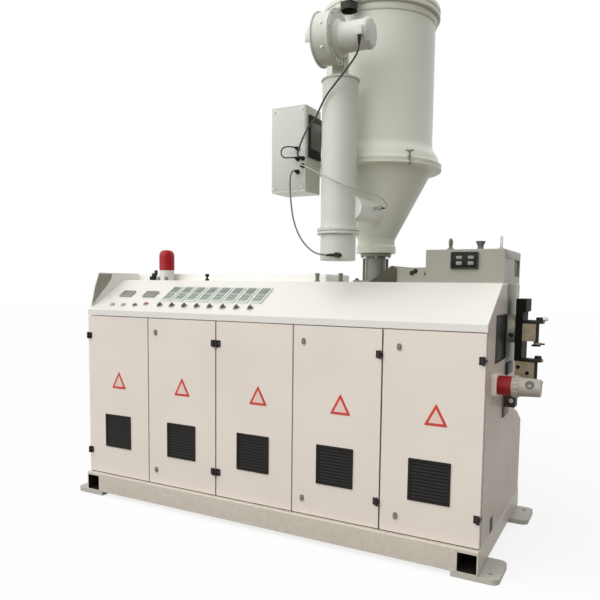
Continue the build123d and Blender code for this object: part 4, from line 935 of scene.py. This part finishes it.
# A paler copy of the pipe's enamel on the duct: painted light, lifting it out of the pipe's shade.
duct_painted_light = enamel("hot_air_duct_enamel", "#ECEEE4", "#E3E5DA", 0.38)
paint_nodes(pipe_enamel, "heater_pipe", "heater_pot", "box_bracket")
paint_nodes(duct_painted_light, "hot_air_duct")
pipe_x, pipe_y = 0.436, -0.405
joint_z, joint_half, joint_circle, joint_count = 1.575, 0.014, 0.0965, 10
joint_bolts = bmesh.new()
for number in range(joint_count):
    angle = radians(18 + number * 36)
    for turned in (1, -1):
        bolt_x, bolt_y = pipe_x + joint_circle * cos(angle), pipe_y + joint_circle * sin(angle)
        bolt_place = (bolt_x, bolt_y, joint_z + turned * joint_half)
        add_bolt(joint_bolts, bolt_place, across=0.008, height=0.003, turned=turned)
make_piece("pipe_joint_bolts", joint_bolts, pipe_enamel)
gasket_profile = [(0.090, -0.0015), (0.1044, -0.0015), (0.1044, 0.0015), (0.090, 0.0015), (0.090, -0.0015)]
gasket_place = (pipe_x, pipe_y, joint_z)
turned_piece("pipe_gasket", gasket_profile, gasket_place, dark_grey_and_recess_shade, steps=96)
seams = bmesh.new()
for x, y_low, y_high, z_low, z_high, half in (
    (pipe_x, pipe_y + 0.086, pipe_y + 0.0895, 1.592, 2.295, 0.0025),
    (throat_x, throat_y + 0.2885, throat_y + 0.2915, 2.060, 2.672, 0.003),
):
    add_block(seams, (x - half, y_low, z_low), (x + half, y_high, z_high))
make_piece("tube_seams", seams, pipe_enamel)


# Blower: a pressed spiral casing with rolled rims, its motor on the die side and a half hood over the
# inlet mesh on the other. Painted sheet steel, bolted by its outlet to the pipe's top. The hood's inner
# faces and a dark disc behind the mesh are painted shade.
paint_nodes(pipe_enamel, "blower_scroll")
blower_x, blower_y, blower_z = 0.422, -0.506, 2.459
case_half, mesh_radius = 0.049, 0.054
inlet_place = (blower_x - case_half, blower_y, blower_z)
# The hood's inward faces turn near-black: painted shade inside the hood.
guard_shade = moulded("guard_inside_painted_shade", "#2B2C27", "#22231F", 0.7, gloss=0.2)
paint_split(
    "inlet_guard",
    pipe_enamel,
    guard_shade,
    lambda polygon: (polygon.center - Vector((0, blower_y, blower_z))).yz.dot(polygon.normal.yz) < -0.02,
)
inlet_mesh = bmesh.new()
for radius in (0.010, 0.019, 0.028, 0.037, 0.046, mesh_radius):
    inner, outer = radius - 0.0015, radius + 0.0015
    wire_profile = [(inner, 0), (outer, 0), (outer, 0.003), (inner, 0.003), (inner, 0)]
    add_turned(inlet_mesh, wire_profile, inlet_place, "X", 40, turned=-1)
for number in range(3):
    spoke_turn = Matrix.Rotation(radians(60 * number), 4, "X")
    spoke_low, spoke_high = (-0.0045, -mesh_radius, -0.0018), (-0.0028, mesh_radius, 0.0018)
    add_block(inlet_mesh, spoke_low, spoke_high, edge=0.0005, turn=spoke_turn, place=inlet_place)
make_piece("inlet_mesh", inlet_mesh, black_steel)
# A dark disc behind the inlet mesh: painted shade inside the inlet.
dark_profile = [(0, 0), (mesh_radius, 0), (mesh_radius, 0.001), (0, 0.001)]
turned_piece("inlet_shade", dark_profile, inlet_place, filter_mat_and_shade, "X", turned=-1)

case_screws = bmesh.new()
for number in range(8):
    angle = radians(-40 - number * 38)
    spiral_share = (number * 38 - 20) / 300
    reach = 0.108 + 0.028 * spiral_share + 0.0075 - 0.012
    screw_y, screw_z = blower_y + reach * cos(angle), blower_z + reach * sin(angle)
    if screw_z > 2.345:
        add_bolt(case_screws, (blower_x + case_half, screw_y, screw_z), "X", across=0.008, height=0.003)
for x, z, depth in ((0.432, 2.499, 0.1135), (0.431, 2.398, 0.0995)):
    add_bolt(case_screws, (x, blower_y - depth, z), "Y", across=0.010, height=0.004, turned=-1)
make_piece("case_screws", case_screws, bright_zinc)

motor_start = blower_x + case_half
motor_profile = [(0, 0), (0.084, 0), (0.085, 0.002), (0.085, 0.008), (0.080, 0.012), (0.072, 0.018)]
motor_profile += [(0.068, 0.022), (0.066, 0.138), (0.069, 0.139), (0.070, 0.142), (0.069, 0.156)]
motor_profile += [(0.063, 0.164), (0.054, 0.168), (0.020, 0.170), (0, 0.170)]
motor = bmesh.new()
add_turned(motor, motor_profile, (motor_start, blower_y, blower_z), "X", 64)
terminal_low, terminal_high = (0.592, -0.085, -0.031), (0.622, -0.048, 0.011)
add_block(motor, terminal_low, terminal_high, edge=0.003, place=(0, blower_y, blower_z))
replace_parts(make_piece("motor_housing", motor, pipe_enamel), "blower_motor")
tie_circle = 0.060
motor_ties = bmesh.new()
for angle in (radians(45), radians(135), radians(225), radians(315)):
    tie_y, tie_z = blower_y + tie_circle * cos(angle), blower_z + tie_circle * sin(angle)
    tie_profile = [(0, 0), (0.004, 0), (0.004, 0.017), (0, 0.017)]
    add_turned(motor_ties, tie_profile, (motor_start + 0.150, tie_y, tie_z), "X", 14)
make_piece("motor_tie_screws", motor_ties, bright_zinc)

neck_places = four_around((0.430, -0.398, 2.315), (0.041, 0, 0), (0, 0.038, 0))
bolt_piece("neck_bolts", neck_places, bright_zinc, "Z", across=0.009, height=0.005)


# Control box of the dryer: a folded steel box with a screwed front cover, and on the die side a
# black-framed glass panel with the dryer's keys. It hangs on a bracket from the drum.
box_enamel = enamel("control_box_enamel", "#D4D5CE", "#CBCCC4", 0.36)
paint_nodes(box_enamel, "control_box")
box_low, box_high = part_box("control_box")
sheet_front = box_low.y - 0.0018
sheet_low = (box_low.x + 0.008, sheet_front, box_low.z + 0.010)
sheet_high = (box_high.x - 0.008, box_low.y + 0.0005, box_high.z - 0.010)
block_piece("box_front_cover", sheet_low, sheet_high, box_enamel)
box_places = [
    (x, sheet_front, z)
    for x in (box_low.x + 0.018, box_high.x - 0.018)
    for z in (box_low.z + 0.022, box_high.z - 0.022)
]
bolt_piece("box_screws", box_places, bright_zinc, "Y", across=0.007, height=0.002, turned=-1)
frame_low, frame_high = (box_high.x, -0.378, 1.958), (box_high.x + 0.008, -0.242, 2.172)
block_piece("box_panel_frame", frame_low, frame_high, black_nylon, edge=0.003)
glass_green = moulded("box_panel_glass", "#4A574E", "#3C4740", 0.3, coat=0.4)
glass_low, glass_high = (box_high.x + 0.0072, -0.364, 2.004), (box_high.x + 0.0100, -0.256, 2.138)
block_piece("box_panel_glass", glass_low, glass_high, glass_green, edge=0.0005)


# Cables of the dryer: rubber sheathed leads from gland to gland, with tapered sleeves at their ends.
# The thermocouple's lead has a pale braided sleeve.
def sheath(name, colour, shade_colour, roughness, strand_mm):
    """Cable sheath: an even skin with a faint grain as wide as its strands."""
    strands = {"Scale": 1000.0 / strand_mm, "Detail": 3.0}
    bump = {"Strength": 0.25, "Distance": 0.0005}
    surface = {"Roughness": roughness, "IOR": 1.5}
    return textured(name, colour, shade_colour, strands, surface, grain=strands, bump=bump)


paint_split("cable_glands", black_nylon, bright_zinc, lambda polygon: polygon.center.y > -0.3)
dark_sheath = sheath("dark_rubber_sheath", "#3E3C36", "#2E2C28", 0.55, 3.0)
grey_sheath = sheath("grey_rubber_sheath", "#77756C", "#65635B", 0.55, 3.0)
pale_braid = sheath("pale_glass_braid", "#C9C9BE", "#ABAB9F", 0.7, 1.6)
motor_route = [
    (0.607, -0.584, 2.407), (0.607, -0.584, 2.368), (0.583, -0.576, 2.334), (0.530, -0.553, 2.296),
    (0.466, -0.525, 2.254), (0.404, -0.504, 2.208), (0.366, -0.490, 2.156), (0.336, -0.474, 2.118),
    (0.294, -0.462, 2.090), (0.272, -0.470, 2.046), (0.266, -0.488, 2.010), (0.256, -0.494, 1.978),
    (0.242, -0.482, 1.956), (0.234, -0.455, 1.948), (0.234, -0.425, 1.948),
]
heater_route = [
    (0.442, -0.505, 1.455), (0.402, -0.505, 1.455), (0.350, -0.502, 1.468), (0.296, -0.494, 1.508),
    (0.250, -0.484, 1.566), (0.219, -0.476, 1.636), (0.205, -0.474, 1.712), (0.203, -0.484, 1.788),
    (0.205, -0.488, 1.834), (0.206, -0.480, 1.866), (0.206, -0.455, 1.883), (0.206, -0.425, 1.883),
]
loop_route = [
    (0.206, -0.425, 1.998), (0.206, -0.449, 1.998), (0.187, -0.466, 2.000), (0.160, -0.472, 1.999),
    (0.144, -0.474, 1.983), (0.145, -0.474, 1.961), (0.160, -0.472, 1.945), (0.187, -0.466, 1.945),
    (0.206, -0.449, 1.948), (0.206, -0.425, 1.948),
]
sensor_route = [
    (0.600, -0.240, 1.700), (0.624, -0.240, 1.700), (0.640, -0.264, 1.712), (0.624, -0.312, 1.744),
    (0.598, -0.356, 1.756), (0.572, -0.404, 1.762), (0.548, -0.452, 1.768), (0.508, -0.492, 1.784),
    (0.452, -0.512, 1.810), (0.390, -0.510, 1.840), (0.332, -0.498, 1.870), (0.284, -0.484, 1.894),
    (0.234, -0.460, 1.912), (0.234, -0.425, 1.912),
]
for name, diameter, length, material, points in (
    ("motor_cable", 0.009, 0.686, dark_sheath, motor_route),
    ("heater_cable", 0.008, 0.602, grey_sheath, heater_route),
    ("loop_cable", 0.007, 0.214, dark_sheath, loop_route),
    ("sensor_lead", 0.005, 0.674, pale_braid, sensor_route),
):
    curve = bpy.data.curves.new(f"{name}_line", "CURVE")
    curve.dimensions = "3D"
    curve.resolution_u = 8
    curve.bevel_depth = diameter / 2
    curve.bevel_resolution = 4
    curve.use_fill_caps = True
    spline = curve.splines.new("NURBS")
    spline.points.add(len(points) - 1)
    for control, point in zip(spline.points, points):
        control.co = (*point, 1.0)
    spline.order_u = 3
    spline.use_endpoint_u = True
    curve.materials.append(material)
    cable = placed(f"{name}_lead", curve)
    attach(cable, "machine")
    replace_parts(cable, name)

sleeves = bmesh.new()
for place, axis, turned, radius in (
    (motor_route[0], "Z", -1, 0.0045),
    (heater_route[0], "X", -1, 0.0040),
    (motor_route[-1], "Y", -1, 0.0045),
    (heater_route[-1], "Y", -1, 0.0040),
    (loop_route[0], "Y", -1, 0.0035),
    (loop_route[-1], "Y", -1, 0.0035),
    (sensor_route[-1], "Y", -1, 0.0026),
    (sensor_route[0], "X", 1, 0.0026),
):
    profile = [(0, 0), (radius + 0.0030, 0), (radius + 0.0024, 0.006), (radius + 0.0006, 0.020)]
    add_turned(sleeves, profile + [(radius, 0.021), (0, 0.021)], place, axis, 20, turned)
make_piece("gland_sleeves", sleeves, black_nylon)
